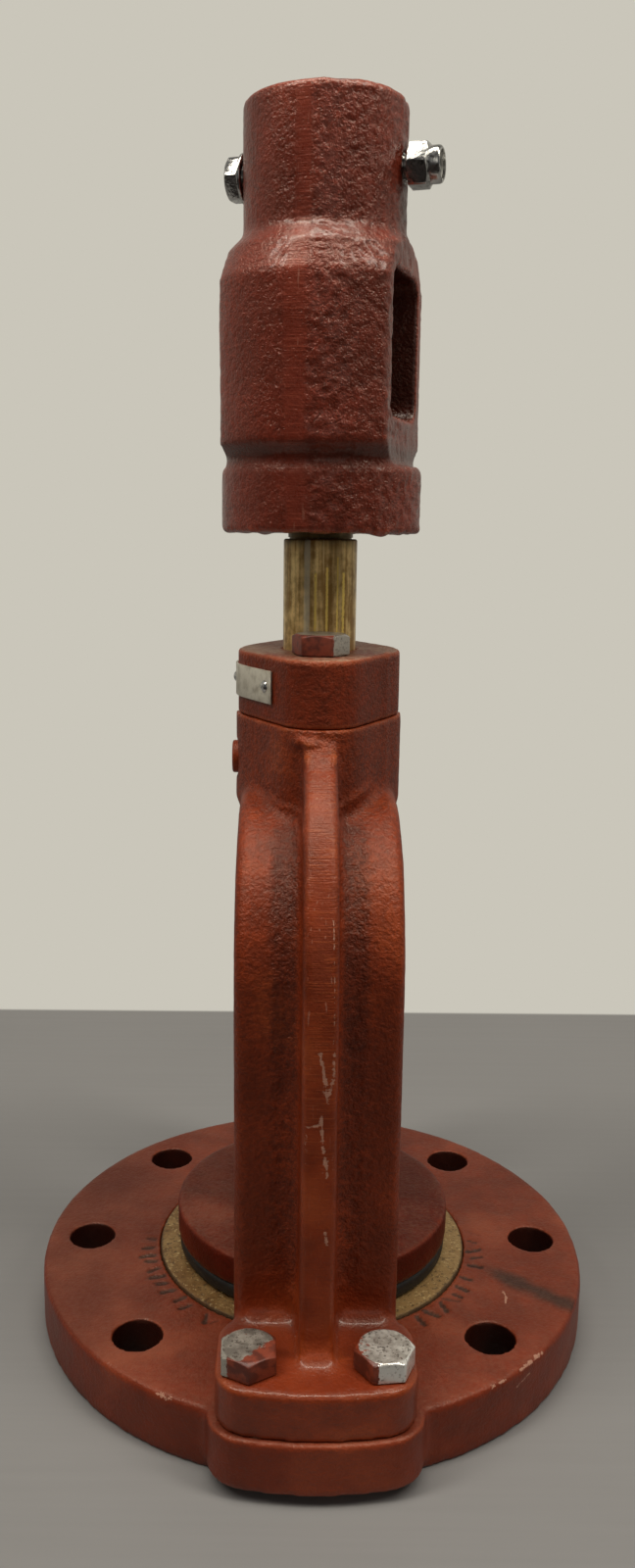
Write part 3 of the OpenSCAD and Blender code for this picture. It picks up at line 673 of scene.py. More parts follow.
# %% Surfaces of the flange, disc and cap
def plain_surface(points, outward):
    """Gently uneven, with a fine sand grain, with no filing and no darkening."""
    height = 0.06 * MM * grain(points, 5 * MM, 2, 1) + 0.10 * MM * grain(points, 26 * MM, 2, 5)
    return height, 0.22 + 0.10 * grain(points, 14 * MM, 2, 9), 0 * height, 0 * height


def parting_ridge(points):
    """A faint upright ridge at the front right, where the two halves of the mould met."""
    return 0.30 * MM * bell(points[:, 0], 25.5 * MM, 2.4 * MM) * (points[:, 1] < 0)


def stake_marks(points):
    """1 in the punch marks that were hammered round the front of the seat ring to hold it. The
    turn is cut into even cells, and a mark sits somewhere in most cells. Each is a few mm long
    and points outward, give or take 30 degrees."""
    count, radius = 78, 69
    turn = np.arctan2(points[:, 1], points[:, 0]) / (2 * math.pi) * count
    cell = np.floor(turn).astype(int) % count
    chance = np.random.default_rng(4)
    shift, length, reach, deep, slant = (chance.random(count)[cell] for _ in range(5))
    along = np.hypot(points[:, 0], points[:, 1]) - (radius + 2.2 * reach) * MM
    across = (turn % 1 - 0.3 - 0.4 * shift) * (2 * math.pi * radius * MM / count)
    across = np.abs(across + 1.1 * (slant - 0.5) * along)
    mark = 1 - ramp(across, (0.2 + 0.4 * length) * MM, (1.1 + 0.5 * length) * MM)
    mark = mark * (1 - ramp(np.abs(along) - (1.4 + 2.0 * length) * MM, 0, 1.0 * MM))
    mark = mark * ramp(deep, 0.10, 0.30) * (1 - ramp(points[:, 1], -8 * MM, 12 * MM))
    return mark * (np.abs(points[:, 2] - DECK) < 1.5 * MM)


SMEAR_X, SMEAR_Y = 74 * MM, -25 * MM


def flange_surface(points, outward):
    """Grease that was dragged across the right side in a band, a darker zone on the left, punch
    marks round the seat with painted shade in them, and painted shade inside the holes."""
    height, sand, filed_and_highlit, dirt_and_shade = plain_surface(points, outward)
    height += 0.14 * MM * grain(points, 34 * MM, 2, 61)
    # Darker towards the left on faces that look up.
    left = 0.42 * ramp(-points[:, 0], 20 * MM, 100 * MM) * (outward[:, 2] > 0.5)
    # The punch marks are dents, and their darkening is painted shade.
    marks = stake_marks(points)
    height -= 0.8 * MM * marks
    dirt_and_shade = np.maximum(dirt_and_shade + left, 1.15 * marks)
    from_band = np.abs((points[:, 0] - SMEAR_X) * 0.60 + (points[:, 1] - SMEAR_Y) * 0.80)
    band = 0.88 * (1 - ramp(from_band + 1.6 * MM * grain(points, 7 * MM, 2, 13), 0, 9 * MM))
    band = band * ramp(points[:, 0], 66 * MM, 80 * MM) * (outward[:, 2] > 0.5)
    # Painted shade inside the bolt holes.
    wall = 1 - ramp(np.abs(outward[:, 2]), 0.3, 0.8)
    for centre in FLANGE_HOLES:
        dirt_and_shade = np.maximum(dirt_and_shade, 0.9 * wall * near_axis(points, centre, 9.8 * MM, 11 * MM))
    return height, sand, filed_and_highlit, np.maximum(dirt_and_shade, band)


def cap_surface(points, outward):
    """Sandy, with the parting ridge."""
    height, sand, filed_and_highlit, dirt_and_shade = plain_surface(points, outward)
    return height + parting_ridge(points), sand + 0.45, filed_and_highlit, dirt_and_shade


# %% [markdown]
# ## The yoke's surface
# The yoke has zones that look unlike each other, so each point's share of every zone is found
# first. Where the legs leave the boss, the mould left a raised lip that dips in the middle
# like a wide V. Its line goes through a few points, pairs of X and Z in mm, with straight
# stretches between. The rib's face was smoothed by filing and the channels stayed coarse. The
# lip carries a painted highlight, and the low legs, the feet, the channels and the boss over the
# lip carry painted shade.

# %% Surface of the yoke
LIP = ((-40, 228), (-28, 232.2), (-15.6, 226.2), (-6, 225),
       (5, 226.2), (15, 231), (24, 233.6), (40, 228))


def yoke_zones(points, outward):
    """Shares from 0 to 1 of the yoke's zones: the boss round the stem, the legs, the channels
    beside the rib, and the rib's own face. The last is the height over the lip in mm."""
    x, y, z = np.abs(points[:, 0]), np.abs(points[:, 1]), points[:, 2]
    boss = ramp(z, CAP_LOW - 38 * MM, CAP_LOW - 30 * MM) * (1 - ramp(y, 50 * MM, 52 * MM))
    off_foot = ramp(z, DECK + 22 * MM, DECK + 32 * MM)
    leg = (1 - boss) * off_foot
    channel = ramp(x, 6.5 * MM, 9 * MM) * (1 - ramp(x, 15.5 * MM, 19.5 * MM)) * leg
    face = (1 - ramp(x, 4.5 * MM, 6 * MM)) * ramp(y, 52 * MM, 58 * MM)
    face = face * off_foot * ramp(outward[:, 1]**2, 0.1, 0.3)
    above_lip = z / MM - np.interp(points[:, 0] / MM, *np.transpose(LIP))
    return boss, leg, channel, face, above_lip


def yoke_height(points, outward, boss, channel, above_lip):
    """Grain, coarse in the channels, a raised lip where the legs leave the boss, a lump of iron
    at the front, and a thick crest at the rib's upper end."""
    x, y, z = np.abs(points[:, 0]), np.abs(points[:, 1]), points[:, 2]
    front = ramp(y, 30 * MM, 38 * MM)
    height = (0.22 * channel + 0.06 * boss) * MM * grain(points, 2.8 * MM, 2, 11)
    height += 0.06 * MM * grain(points, 4 * MM, 2, 3) + 0.12 * MM * grain(points, 22 * MM, 2, 7)
    lip = bell(above_lip, 0, np.where(above_lip > 0, 1.6, 6.0))
    height += 0.8 * MM * lip * front * ramp(x, 5 * MM, 7 * MM)
    lump = bell(points[:, 0], -5 * MM, 6.5 * MM) * bell(z, CAP_LOW - 4.4 * MM, 2.0 * MM)
    height += 1.7 * MM * np.sqrt(lump) * (points[:, 1] < -40 * MM) + boss * parting_ridge(points)
    crest = (1 - ramp(x, 4.8 * MM, 5.8 * MM)) * bell(z, CAP_LOW - 8 * MM, 4.5 * MM) * front
    return height + 2.2 * MM * np.sqrt(crest) * (outward[:, 2] > -0.3)


def yoke_surface(points, outward):
    """Coarse in the channels, marked by filing on the rib's face, with a painted highlight along
    the lip, and painted shade low on the legs, on the feet, in the channels and above the lip."""
    x, y, z = np.abs(points[:, 0]), np.abs(points[:, 1]), points[:, 2]
    boss, leg, channel, face, above_lip = yoke_zones(points, outward)
    height = yoke_height(points, outward, boss, channel, above_lip)
    above_foot = ramp(z, DECK + 30 * MM, DECK + 50 * MM)
    sand = 0.20 + 0.40 * above_foot + 0.40 * channel + 0.20 * boss - 0.50 * face
    front = ramp(y, 30 * MM, 38 * MM)
    # A painted highlight along the lip's crest, stored with the filing.
    highlit = bell(above_lip, -0.5, 1.6) * front * ramp(x, 5 * MM, 7 * MM)
    face = face * (0.3 + 0.7 * ramp(z, DECK + 80 * MM, DECK + 110 * MM))
    # Painted shade: low on the legs, on the tops of the feet, on the boss over the lip and in the
    # channels.
    low_leg = leg * ramp(x, 6.5 * MM, 8 * MM) * (1 - ramp(z, DECK + 120 * MM, DECK + 175 * MM))
    foot = ramp(outward[:, 2], 0.5, 0.8) * (z < DECK + 22 * MM)
    over_lip = front * ramp(above_lip, 1, 3) * ramp(x, 5 * MM, 8 * MM)
    dark = (0.22 + 0.26 * ramp(z, DECK + 95 * MM, DECK + 130 * MM)) * channel
    dirt_and_shade = np.max([0.22 * low_leg, 0.36 * foot, 0.20 * over_lip, dark], axis=0)
    return height, np.clip(sand, 0.05, 1), np.maximum(face, 0.7 * highlit), dirt_and_shade


# %% [markdown]
# ## The coupling's surface
# The coupling came out of coarse sand, but its mould seams were ground down to smooth strips at
# the front and at the back. Paint ran down it and hangs from its lower edge in drops.

# %% Surface of the coupling
SEAM_LEAN = 2.7
SEAMS = COUPLING_TURN + np.radians([-90 + SEAM_LEAN, 90 + SEAM_LEAN])


def coupling_surface(points, outward):
    """Coarse sand, ground smooth and a little darker on a strip at the front and at the back, runs
    of paint that hang from the lower edge, and painted shade inside, behind the windows and on
    the neck above the collar."""
    turn = np.arctan2(points[:, 1], points[:, 0])
    off_seam = np.angle(np.exp(1j * (turn[:, None] - SEAMS[None, :])))
    nearest = np.abs(off_seam).min(axis=1)
    strip = 1 - ramp(nearest, 0.065, 0.125)
    above = points[:, 2] - COUPLING_LOW
    smooth_cuff = bell(above, 28 * MM, 8 * MM)
    outer = ramp(np.hypot(points[:, 0], points[:, 1]), 26 * MM, 29 * MM)
    right = ramp(off_seam[:, 0], 0.0, 0.25) * (1 - ramp(off_seam[:, 0], 1.6, 1.9))
    sand = 0.75 + 0.25 * right - 0.60 * strip - 0.50 * smooth_cuff
    sand = np.clip(sand, 0.1, 1) * outer
    lumps = 1 - 2 * np.abs(value_noise(points / (3.1 * MM), 21))
    lumps += 0.5 * value_noise(points / (1.9 * MM), 22)
    height = (0.12 + 0.20 * right) * sand * lumps + 0.22 * grain(points, 20 * MM, 2, 27)
    runs = np.maximum(grain(points * [1, 1, 0.05], 7 * MM, 1, 33) - 0.25, 0)
    height += 1.6 * runs * bell(above, 0, 3.5 * MM) * (outward[:, 2] < 0.3)
    height += 0.35 * bell(nearest, 0.13, 0.05) * grain(points, 4 * MM, 2, 35)
    # Painted shade inside the coupling and on the cavity's walls behind the windows.
    sideways = (outward[:, :2] * points[:, :2]).sum(axis=1) / np.hypot(*points[:, :2].T)
    cavity = (1 - ramp(sideways, 0.1, 0.6)) * ramp(above, 40 * MM, 44 * MM)
    cavity = cavity * (1 - ramp(above, 92 * MM, 96 * MM))
    inside = np.maximum(1.1 * (1 - outer), 0.9 * cavity)
    # The ground strip is a little darker, and the concave neck above the collar carries painted
    # shade.
    darker_strip_and_neck = np.maximum(0.12 * strip, 0.64 * smooth_cuff)
    return height * MM * outer, sand, strip * outer, np.maximum(inside, darker_strip_and_neck)


# %% The castings themselves
flange = casting("flange", "valve_body", size=1.12 * MM, fillet=4 * MM,
                 softness=2.2 * MM, surface=flange_surface, fixed=flange_fixed)
yoke = casting("yoke", "valve_body", size=1.2 * MM, fillet=3 * MM,
               softness=2.7 * MM, surface=yoke_surface, fixed=yoke_fixed)
cap = casting("thrust_cap", "valve_body", size=0.9 * MM, fillet=0,
              softness=2.0 * MM, surface=cap_surface, fixed=cap_fixed)
coupling = casting("coupling", "stem", size=0.9 * MM, fillet=3 * MM,
                   softness=1.5 * MM, surface=coupling_surface, fixed=nothing_fixed)
disc = casting("disc", "disc", size=1.2 * MM, fillet=6 * MM,
               softness=2.2 * MM, surface=plain_surface, fixed=disc_fixed)
for piece, paint in zip((flange, yoke, cap, coupling, disc), PAINTS):
    piece.data.materials.append(paint)

# %% [markdown]
# ## Metals
# Bare bronze is turned, so its marks run round it, and hands and weather have stained it in
# streaks. Its bright upright streaks are painted highlights. The lines on the stem are painted
# highlights and a painted grey reflection, in mm like the scratches, found as seen from the
# front, so that depth doesn't count. Plated bolts are bright, but those on the casting caught
# red primer when the valve was sprayed. How much is stored on each bolt as a number called
# "spray".

# %% Bronze
def bronze(name, main, dark, roughness, metallic, highlit=(), reflected=(), **constants):
    """Turned bronze with stained upright streaks, painted bright streaks of highlight, stains and
    fine marks that run round it. The lines given as highlights are painted highlights, and those
    given as a reflection are a painted grey reflection."""
    f = Finish(name, Metallic=metallic, **constants)
    streak = f.noise(0.0028, 3, 0.6, stretch=(1, 1, 14))
    shine = f.noise(0.0013, 2, 0.5, stretch=(1, 1, 24), shift=1.0)
    stain = f.noise(0.006, 4, 0.65, shift=3.0)
    speck = f.noise(0.0012, 3, 0.7, shift=8.0)
    lathe = f.noise(0.0005, 2, 0.5, stretch=(60, 60, 1), shift=5.0)
    dull = (streak * 0.55 + stain * 0.45).step(0.40, 0.62)
    tone = f.mix(dull, dark, main)
    # Bright upright streaks: painted highlights.
    tone = f.mix(shine.step(0.66, 0.72) * 0.6, tone, colour(252, 228, 168))
    # A painted grey reflection and painted highlight lines, fixed as seen from the front.
    grey = f.lines(reflected, (stain - 0.5) * 0.8, FROM_FRONT)
    tone = f.mix(grey * 0.55, tone, colour(224, 222, 200))
    gold = f.lines(highlit, (speck - 0.5) * 1.6, FROM_FRONT)
    tone = f.mix(gold, tone, colour(255, 222, 118))
    tone = f.mix(speck.step(0.66, 0.76) * 0.8, tone, colour(58, 46, 28))
    # Darker in the last 7 mm below the coupling's lower edge.
    under = (f.along("Z") + (stain - 0.5) * 0.012).step(COUPLING_LOW - 0.007, COUPLING_LOW)
    tone = f.mix(under * 0.8, tone, colour(20, 15, 10))
    rough = roughness + (0.5 - dull) * 0.16 + (stain - 0.5) * 0.2
    return f.done(Base_Color=tone, Roughness=rough, Normal=f.raised(lathe * 0.02))


FROM_FRONT = (1, 0, 1)
# Painted highlight lines on the stem, and below them a painted grey reflection, in mm as seen from
# the front.
HIGHLIT = [((x, 0, 250), (x, 0, top), half_width)
          for x, top, half_width in ((-2.0, 309, 0.5), (2.4, 311, 0.5), (6.4, 315, 0.35),
                                     (8.7, 309, 0.5))]
REFLECTED = [((-5.2, 0, 250), (-5.2, 0, 321), 1.2)]
stem_bronze = bronze("turned_bronze", colour(252, 220, 150), colour(166, 128, 68),
                     roughness=0.34, metallic=0.4, highlit=HIGHLIT, reflected=REFLECTED,
                     Anisotropic=0.9, Anisotropic_Rotation=0.25)
dull_bronze = bronze("dull_bronze", colour(158, 130, 79), colour(96, 74, 42),
                     roughness=0.40, metallic=0.8)
print(len(HIGHLIT), "rubbed lines and", len(REFLECTED), "greyed one on the stem")

# %% Zinc and aluminium
def plated(name, bright, grey, roughness, metallic=0.5, edge=colour(166, 160, 150)):
    """Zinc plating, cloudy, brighter on the rims, with primer over it where the mesh says."""
    f = Finish(name)
    cloud = f.noise(0.004, 4, 0.6)
    pits = f.noise(0.0011, 3, 0.65, shift=2.0)
    spray, rim = f.number("spray"), f.number("rim")
    paint = (f.noise(0.0024, 4, 0.7, shift=6.0) - 0.5 + spray).step(0.46, 0.54)
    tone = f.mix(cloud.step(0.35, 0.7), grey, bright)
    tone = f.mix(pits.step(0.55, 0.63) * 0.75, tone, colour(66, 54, 45))
    tone = f.mix(rim * (1 - (pits * 0.6 + cloud * 0.4).step(0.50, 0.60) * 0.7), tone, edge)
    tone = f.mix(paint, tone, f.mix(cloud.step(0.4, 0.6), colour(88, 36, 22), colour(126, 54, 32)))
    rough = roughness + (cloud - 0.5) * 0.25 + paint * 0.2 - rim * 0.1
    return f.done(Base_Color=tone, Metallic=metallic * (1 - paint), Roughness=rough,
                  Normal=f.raised(pits * 0.10 + paint * 0.05))


def brushed(name, main, dark):
    """Thin sheet metal with fine level scratches, dulled by weather."""
    f = Finish(name, Metallic=0.25)
    lines = f.noise(0.0003, 2, 0.5, stretch=(30, 30, 1))
    cloud = f.noise(0.005, 4, 0.6, shift=2.0)
    tone = f.mix(cloud.step(0.4, 0.72), main, dark)
    rough = 0.38 + (lines - 0.5) * 0.2 + (cloud - 0.5) * 0.2
    return f.done(Base_Color=tone, Roughness=rough, Normal=f.raised(lines * 0.012))


bolt_zinc = plated("bolt_zinc", colour(171, 164, 154), colour(124, 117, 109), roughness=0.34)
worn_zinc = plated("worn_zinc", colour(204, 199, 192), colour(156, 149, 141),
                   roughness=0.30, metallic=0.45, edge=colour(222, 220, 215))
bright_zinc = plated("bright_zinc", colour(222, 221, 218), colour(190, 189, 186),
                     roughness=0.16, metallic=0.95)
sheet = brushed("nameplate_sheet", colour(219, 213, 197), colour(182, 174, 156))
print("metals:", ", ".join(metal.name for metal in (bolt_zinc, worn_zinc, bright_zinc, sheet)))

# %% [markdown]
# ## Bolt heads and nuts
# A hexagon head is a lathe shape and a prism at once. Its wall follows the hexagon, and its top
# is cut by a cone of 30 degrees, which leaves the curved edges that every bolt head has. Rings
# do this well: each ring's distance from the axis is the hexagon's, and the cone sets how high
# the wall may reach at each angle. Blending the six flats with a high power rounds the corners.

# %% Hexagons as rings
SHARPNESS = 60


def hexagon(flats):
    """Distance to a hexagon's wall, by a smooth maximum over its six flats."""
    total = sum(np.maximum(np.cos(AROUND - k * math.pi / 3), 0)**SHARPNESS for k in range(6))
    return flats / 2 / total**(1 / SHARPNESS)


def head_rows(flats, base, top, washer=0.4 * MM):
    """Rows of a head from the edge of its washer face up its wall and in to its middle."""
    wall = hexagon(flats)
    flat = 0.95 * flats / 2
    brink = top - np.maximum(wall - flat, 0) * math.tan(math.radians(30))
    ease = 0.15 * MM
    rows = [(flat, base), (flat, base + washer), (wall - ease, base + washer),
            (wall, base + washer + ease), (wall, brink - 1.4 * ease),
            (wall - 0.4 * ease, brink - 0.3 * ease)]
    for share in (0.25, 0.5, 0.75):
        rows.append((wall + (flat - wall) * share, brink + (top - brink) * share))
    rows += [(flat, top - 0.02 * MM), (flat - 2 * ease, top), (flat * 0.75, top),
             (flat * 0.5, top), (flat * 0.25, top), (0 * flat, top)]
    return rows


# %% Bolts in the castings
BOLT_FLATS, BOLT_HEAD, BOLT_SHANK = 19.05 * MM, 7.9 * MM, 6.35 * MM
WALL_ROW, TOP_ROW = 7, 14


def hex_bolt(node, turn, spray, plating):
    """A bolt in a casting, turned by so many degrees. spray(x, y, wall) is how much primer its
    head caught: x and y run from -1 to 1 across the head, and wall is 1 up to the row where the
    flat top starts."""
    x, y, top = (*middle(node)[:2], high(node)[2])
    base, tip = top - BOLT_HEAD, low(node)[2]
    rows = [(0, tip), (BOLT_SHANK - MM, tip), (BOLT_SHANK, tip + MM),
            (BOLT_SHANK, base - MM), (BOLT_SHANK, base)]
    rings = revolve(rows + head_rows(BOLT_FLATS, base, top))
    across = rings[..., :2] / BOLT_FLATS * 2
    spin = np.array(Matrix.Rotation(math.radians(turn), 3, "Z"))
    rings = rings @ spin.T + np.array([x, y, 0])
    across = across @ spin[:2, :2].T
    row = np.arange(len(rings))[:, None] + 0 * across[..., 0]
    wall = np.where(row < TOP_ROW, 1.0, 0.0)
    numbers = {"spray": spray(across[..., 0], across[..., 1], wall),
               "rim": np.where((row >= WALL_ROW) & (row < TOP_ROW), 1.0, 0.0)}
    made = ring_skin(node + "_turned", rings, "valve_body", [node], numbers)
    made.data.materials.append(plating)


# %% Primer on the bolts
def sprayed_right(x, y, wall):
    """Primer on the right and front of the top, and on most of the walls."""
    worn = 0.5 * wall * ramp(-x, 0.6, 0.9)
    return np.clip(0.30 + 0.62 * ramp(x - y, 0.35, 0.9) + 0.50 * wall - worn, 0, 1)


def sprayed_left(x, y, wall):
    """Primer on the left walls only, with specks on the top."""
    return 0.30 + 0.20 * ramp(-x, 0.3, 0.9) + 0.55 * wall * ramp(-x, 0.15, 0.5)


def sprayed_all(x, y, wall):
    """Primer on all walls, worn thin on the right and off along the top edge."""
    return 0.36 + (0.60 - 0.66 * ramp(x, 0.40, 0.52)) * wall


for node, turn, spray, plating in (("foot_bolt_1", 2, sprayed_right, bolt_zinc),
                                   ("foot_bolt_2", 37, sprayed_left, worn_zinc),
                                   ("foot_bolt_3", 12, sprayed_all, bolt_zinc),
                                   ("foot_bolt_4", 40, sprayed_right, worn_zinc)):
    hex_bolt(node, turn, spray, plating)
for node, turn in (("cap_bolt_front", 20), ("cap_bolt_rear", 0)):
    hex_bolt(node, turn, sprayed_all, bolt_zinc)

# %% [markdown]
# ## Threads
# A thread is a ring skin too. The distance from the axis depends on the height plus the angle:
# one turn of angle moves the pattern by one lead. The stem's thread is left-handed, so that
# the disc rises when the stem is turned anticlockwise. Its profile has flat crests and roots.

# %% The stem
STEM_LEAD, STEM_THREAD_DEPTH, LEFT_HAND, RIGHT_HAND = 6.35 * MM, 2.4 * MM, -1, 1
COLLAR_LENGTH = 11.4 * MM
SPIGOT = 11 * MM


def thread_depth(height, lead, hand, flat=0.25):
    """0 on a thread's crest and 1 in its root, with straight flanks between."""
    phase = (height[:, None] / lead - hand * AROUND[None, :] / (2 * math.pi)) % 1
    wave = 2 * np.abs(phase - 0.5)
    return np.clip((wave - flat) / (1 - 2 * flat), 0, 1)


def stem_rings():
    """The stem from its tip through thread, collar, journal, neck and the end in the
    coupling."""
    tip, end = low("stem")[2], high("stem")[2]
    thread_r, journal_r, collar_r = 12.7 * MM, 14.2 * MM, high("stem")[0]
    thread_end = tip + 93.5 * MM
    heights = np.arange(tip + 2 * MM, thread_end, 0.45 * MM)
    fade = ramp(thread_end - heights, 0, 5 * MM)[:, None]
    depth = STEM_THREAD_DEPTH * thread_depth(heights, STEM_LEAD, LEFT_HAND)
    threaded = thread_r - depth * fade
    collar_top = CAP_LOW - 0.3 * MM
    collar_low = collar_top - COLLAR_LENGTH
    neck = COUPLING_LOW - 2.5 * MM
    rows = [(0, tip), (thread_r - 3 * MM, tip)]
    rows += list(zip(threaded, heights))
    rows += [(thread_r, thread_end), (journal_r, thread_end + 2 * MM),
             (journal_r, collar_low), (collar_r - 0.4 * MM, collar_low),
             (collar_r, collar_low + 0.4 * MM), (collar_r, collar_top - 0.4 * MM),
             (collar_r - 0.4 * MM, collar_top), (journal_r, collar_top)]
    rows += [(journal_r, height) for height in np.linspace(CAP_TOP, neck - 0.8 * MM, 6)]
    rows += [(journal_r - 0.15 * MM, neck - 0.35 * MM), (journal_r - 0.6 * MM, neck),
             (journal_r - 2.2 * MM, neck), (journal_r - 2.2 * MM, neck + 0.5 * MM),
             (journal_r - 1.7 * MM, neck + 0.6 * MM), (journal_r - 1.7 * MM, COUPLING_LOW),
             (SPIGOT, COUPLING_LOW), (SPIGOT, end - 2 * MM), (SPIGOT - 2 * MM, end), (0, end)]
    return revolve(rows)


stem = ring_skin("stem_turned", stem_rings(), "stem", ["stem"])
stem.data.materials.append(stem_bronze)

# %% [markdown]
# ## Nuts
# A nut is a bolt head with a hole, so its rings make a full loop: up the wall, in over the
# top, down the bore and out again underneath. The lock nut on the cross bolt also has a round
# collar that is rolled in over a plastic ring.

# %% Nuts on upright axes
def nut_rows(flats, bore, base, top, washer=0.3 * MM):
    """Rows of a nut, looped through its bore."""
    outside = head_rows(flats, base, top, washer)[:11]
    lip = 0.8 * MM
    return outside + [(bore + lip, top), (bore, top - lip), (bore, base + lip), (bore + lip, base)]


spin = COUPLING_TURN + math.radians(10)
rings = revolve(nut_rows(33 * MM, SPIGOT, low("stem_nut")[2], high("stem_nut")[2]))
rings = rings @ np.array(Matrix.Rotation(spin, 3, "Z")).T
stem_nut = ring_skin("stem_nut_turned", rings, "stem", ["stem_nut"], looped=True)
stem_nut.data.materials.append(dull_bronze)

nut_low, nut_high = low("disc_nut")[2], high("disc_nut")[2]
hub_top = nut_high - 7 * MM
nut_bore, sleeve = 13 * MM, 17 * MM
rows = [(sleeve, nut_low), (sleeve, hub_top)]
rows += nut_rows(38 * MM, nut_bore, hub_top, nut_high)[:-2]
rows += [(nut_bore, nut_low + MM), (nut_bore + MM, nut_low)]
disc_nut = ring_skin("disc_nut_turned", revolve(rows), "disc", ["disc_nut"],
                     looped=True)
disc_nut.data.materials.append(dull_bronze)

# %% The cross bolt
CROSS_Z = middle("cross_bolt")[2]
CROSS_AXIS = (math.cos(COUPLING_TURN), math.sin(COUPLING_TURN), 0)
UP = (0, 0, 1)
CROSS_FLATS, CROSS_R, CROSS_HEAD = 14.3 * MM, 4.75 * MM, 5.6 * MM
CROSS_LEAD, CROSS_THREAD_DEPTH = 1.5875 * MM, 0.75 * MM
SOCKET_R = 29.9 * MM
head_seat = -SOCKET_R - 1.5 * MM
nut_start = SOCKET_R + 1.7 * MM
bolt_end = nut_start + 10.5 * MM


def bolt_across(rows):
    """Rings on the cross bolt's axis, which runs from its head to its nut."""
    return stood_on(revolve(rows), (0, 0, CROSS_Z), CROSS_AXIS, UP)


head = [(radius, -height) for radius, height in
        head_rows(CROSS_FLATS, -head_seat, CROSS_HEAD - head_seat)][::-1]
heights = np.arange(nut_start - 5 * MM, bolt_end - 0.8 * MM, 0.16 * MM)
threaded = CROSS_R - CROSS_THREAD_DEPTH * thread_depth(heights, CROSS_LEAD, RIGHT_HAND, 0.15)
rows = head + [(CROSS_R, head_seat), (CROSS_R, heights[0])]
rows += list(zip(threaded, heights)) + [(CROSS_R - 0.9 * MM, bolt_end), (0, bolt_end)]
cross_bolt = ring_skin("cross_bolt_turned", bolt_across(rows), "stem",
                       ["cross_bolt"])
cross_bolt.data.materials.append(bright_zinc)

# %% The lock nut
collar = CROSS_FLATS / 2 - 0.8 * MM
nut_top = nut_start + 7.5 * MM
rows = nut_rows(CROSS_FLATS, CROSS_R + 0.2 * MM, nut_start, nut_top)[:8]
rows += [(collar + 0.5 * MM, nut_top), (collar, nut_top + 0.5 * MM),
         (collar, nut_top + 3.2 * MM), (collar - 0.3 * MM, nut_top + 4.0 * MM),
         (collar - 0.9 * MM, nut_top + 4.4 * MM), (collar - 1.4 * MM, nut_top + 4.3 * MM),
         (collar - 1.4 * MM, nut_top + 3.4 * MM), (collar - 1.2 * MM, nut_top + 3.3 * MM),
         (collar - 1.2 * MM, nut_top), (CROSS_R + 0.2 * MM, nut_top),
         (CROSS_R + 0.2 * MM, nut_start + 0.8 * MM), (CROSS_R + MM, nut_start)]
lock_nut = ring_skin("lock_nut_turned", bolt_across(rows), "stem", ["lock_nut"],
                     looped=True)
lock_nut.data.materials.append(bright_zinc)

# %% [markdown]
# ## Seat and seal
# The seat ring was hammered into its groove and is rough and dirty outside the disc, so its top
# is a grid of points that noise dents. The rubber seal bulges a little where the disc presses it
# down. Both are ring skins whose last row meets the first.

# %% Seat ring
SEAT_COLUMNS = 480


def seat_rings():
    """The ring's section, looped, with an uneven top."""
    base, top = low("seat_ring")[2], high("seat_ring")[2]
    inner, outer = 50.8 * MM, high("seat_ring")[0]
    turn = np.linspace(0, 2 * math.pi, SEAT_COLUMNS, endpoint=False)
    rows = [(outer, base), (outer, top - 1.2 * MM), (outer - 0.5 * MM, top - 0.3 * MM)]
    rows += [(radius, top) for radius in np.linspace(outer - 1.2 * MM, inner + 1.4 * MM, 16)]
    rows += [(inner, top - 1.3 * MM), (inner, base)]
    rings = revolve(rows, turn)
    flat = rings.reshape(-1, 3)
    dents = -np.abs(grain(flat, 2.2 * MM, 2, 41)) * 0.14 * MM - 0.1 * MM
    flat[:, 2] += dents * (flat[:, 2] > top - 0.1 * MM)
    return flat.reshape(rings.shape)


def rough_bronze():
    """Cast bronze: ochre and pitted, cleaner on the right, dark with dirt round its outer edge, and
    with painted highlight specks.
    """
    f = Finish("seat_bronze", Metallic=0.2)
    cloud = f.noise(0.007, 4, 0.6)
    pits = f.noise(0.0016, 4, 0.7, shift=3.0)
    fine = f.noise(0.0013, 3, 0.6, shift=5.0)
    x, y = f.along("X"), f.along("Y")
    tone = f.mix(cloud.step(0.35, 0.65), colour(118, 84, 44), colour(152, 120, 74))
    clean = x.step(0.01, 0.05) * (1 - cloud).step(0.35, 0.6)
    tone = f.mix(clean * 0.5, tone, colour(186, 156, 104))
    tone = f.mix(pits.step(0.53, 0.66) * 0.85, tone, colour(62, 42, 26))
    # Light specks: painted highlights.
    tone = f.mix(fine.step(0.58, 0.66) * 0.6, tone, colour(212, 186, 134))
    away = (x * x + y * y).maths("SQRT", x * x + y * y, 0)
    outer = high("seat_ring")[0]
    border = (away + (cloud - 0.5) * 0.002).step(outer - 0.0014, outer)
    tone = f.mix(border * 0.85, tone, colour(48, 30, 20))
    return f.done(Base_Color=tone, Roughness=0.48 + (pits - 0.5) * 0.4,
                  Normal=f.raised(pits * -0.25 + fine * 0.1))


seat = ring_skin("seat_ring_turned", seat_rings(), "valve_body", ["seat_ring"],
                 looped=True)
seat.data.materials.append(rough_bronze())

# %% Rubber seal
def rubber():
    """Black rubber, dusty, with a little bronze smeared into it."""
    f = Finish("black_rubber")
    dust = f.noise(0.003, 4, 0.6)
    scrape = f.noise(0.0016, 4, 0.7, stretch=(1, 1, 0.4), shift=2.0)
    tone = f.mix(dust.step(0.4, 0.75), colour(15, 15, 14), colour(36, 35, 31))
    tone = f.mix(scrape.step(0.62, 0.70) * 0.6, tone, colour(120, 100, 62))
    return f.done(Base_Color=tone, Roughness=0.55 + (dust - 0.5) * 0.2,
                  Normal=f.raised(scrape * 0.12))


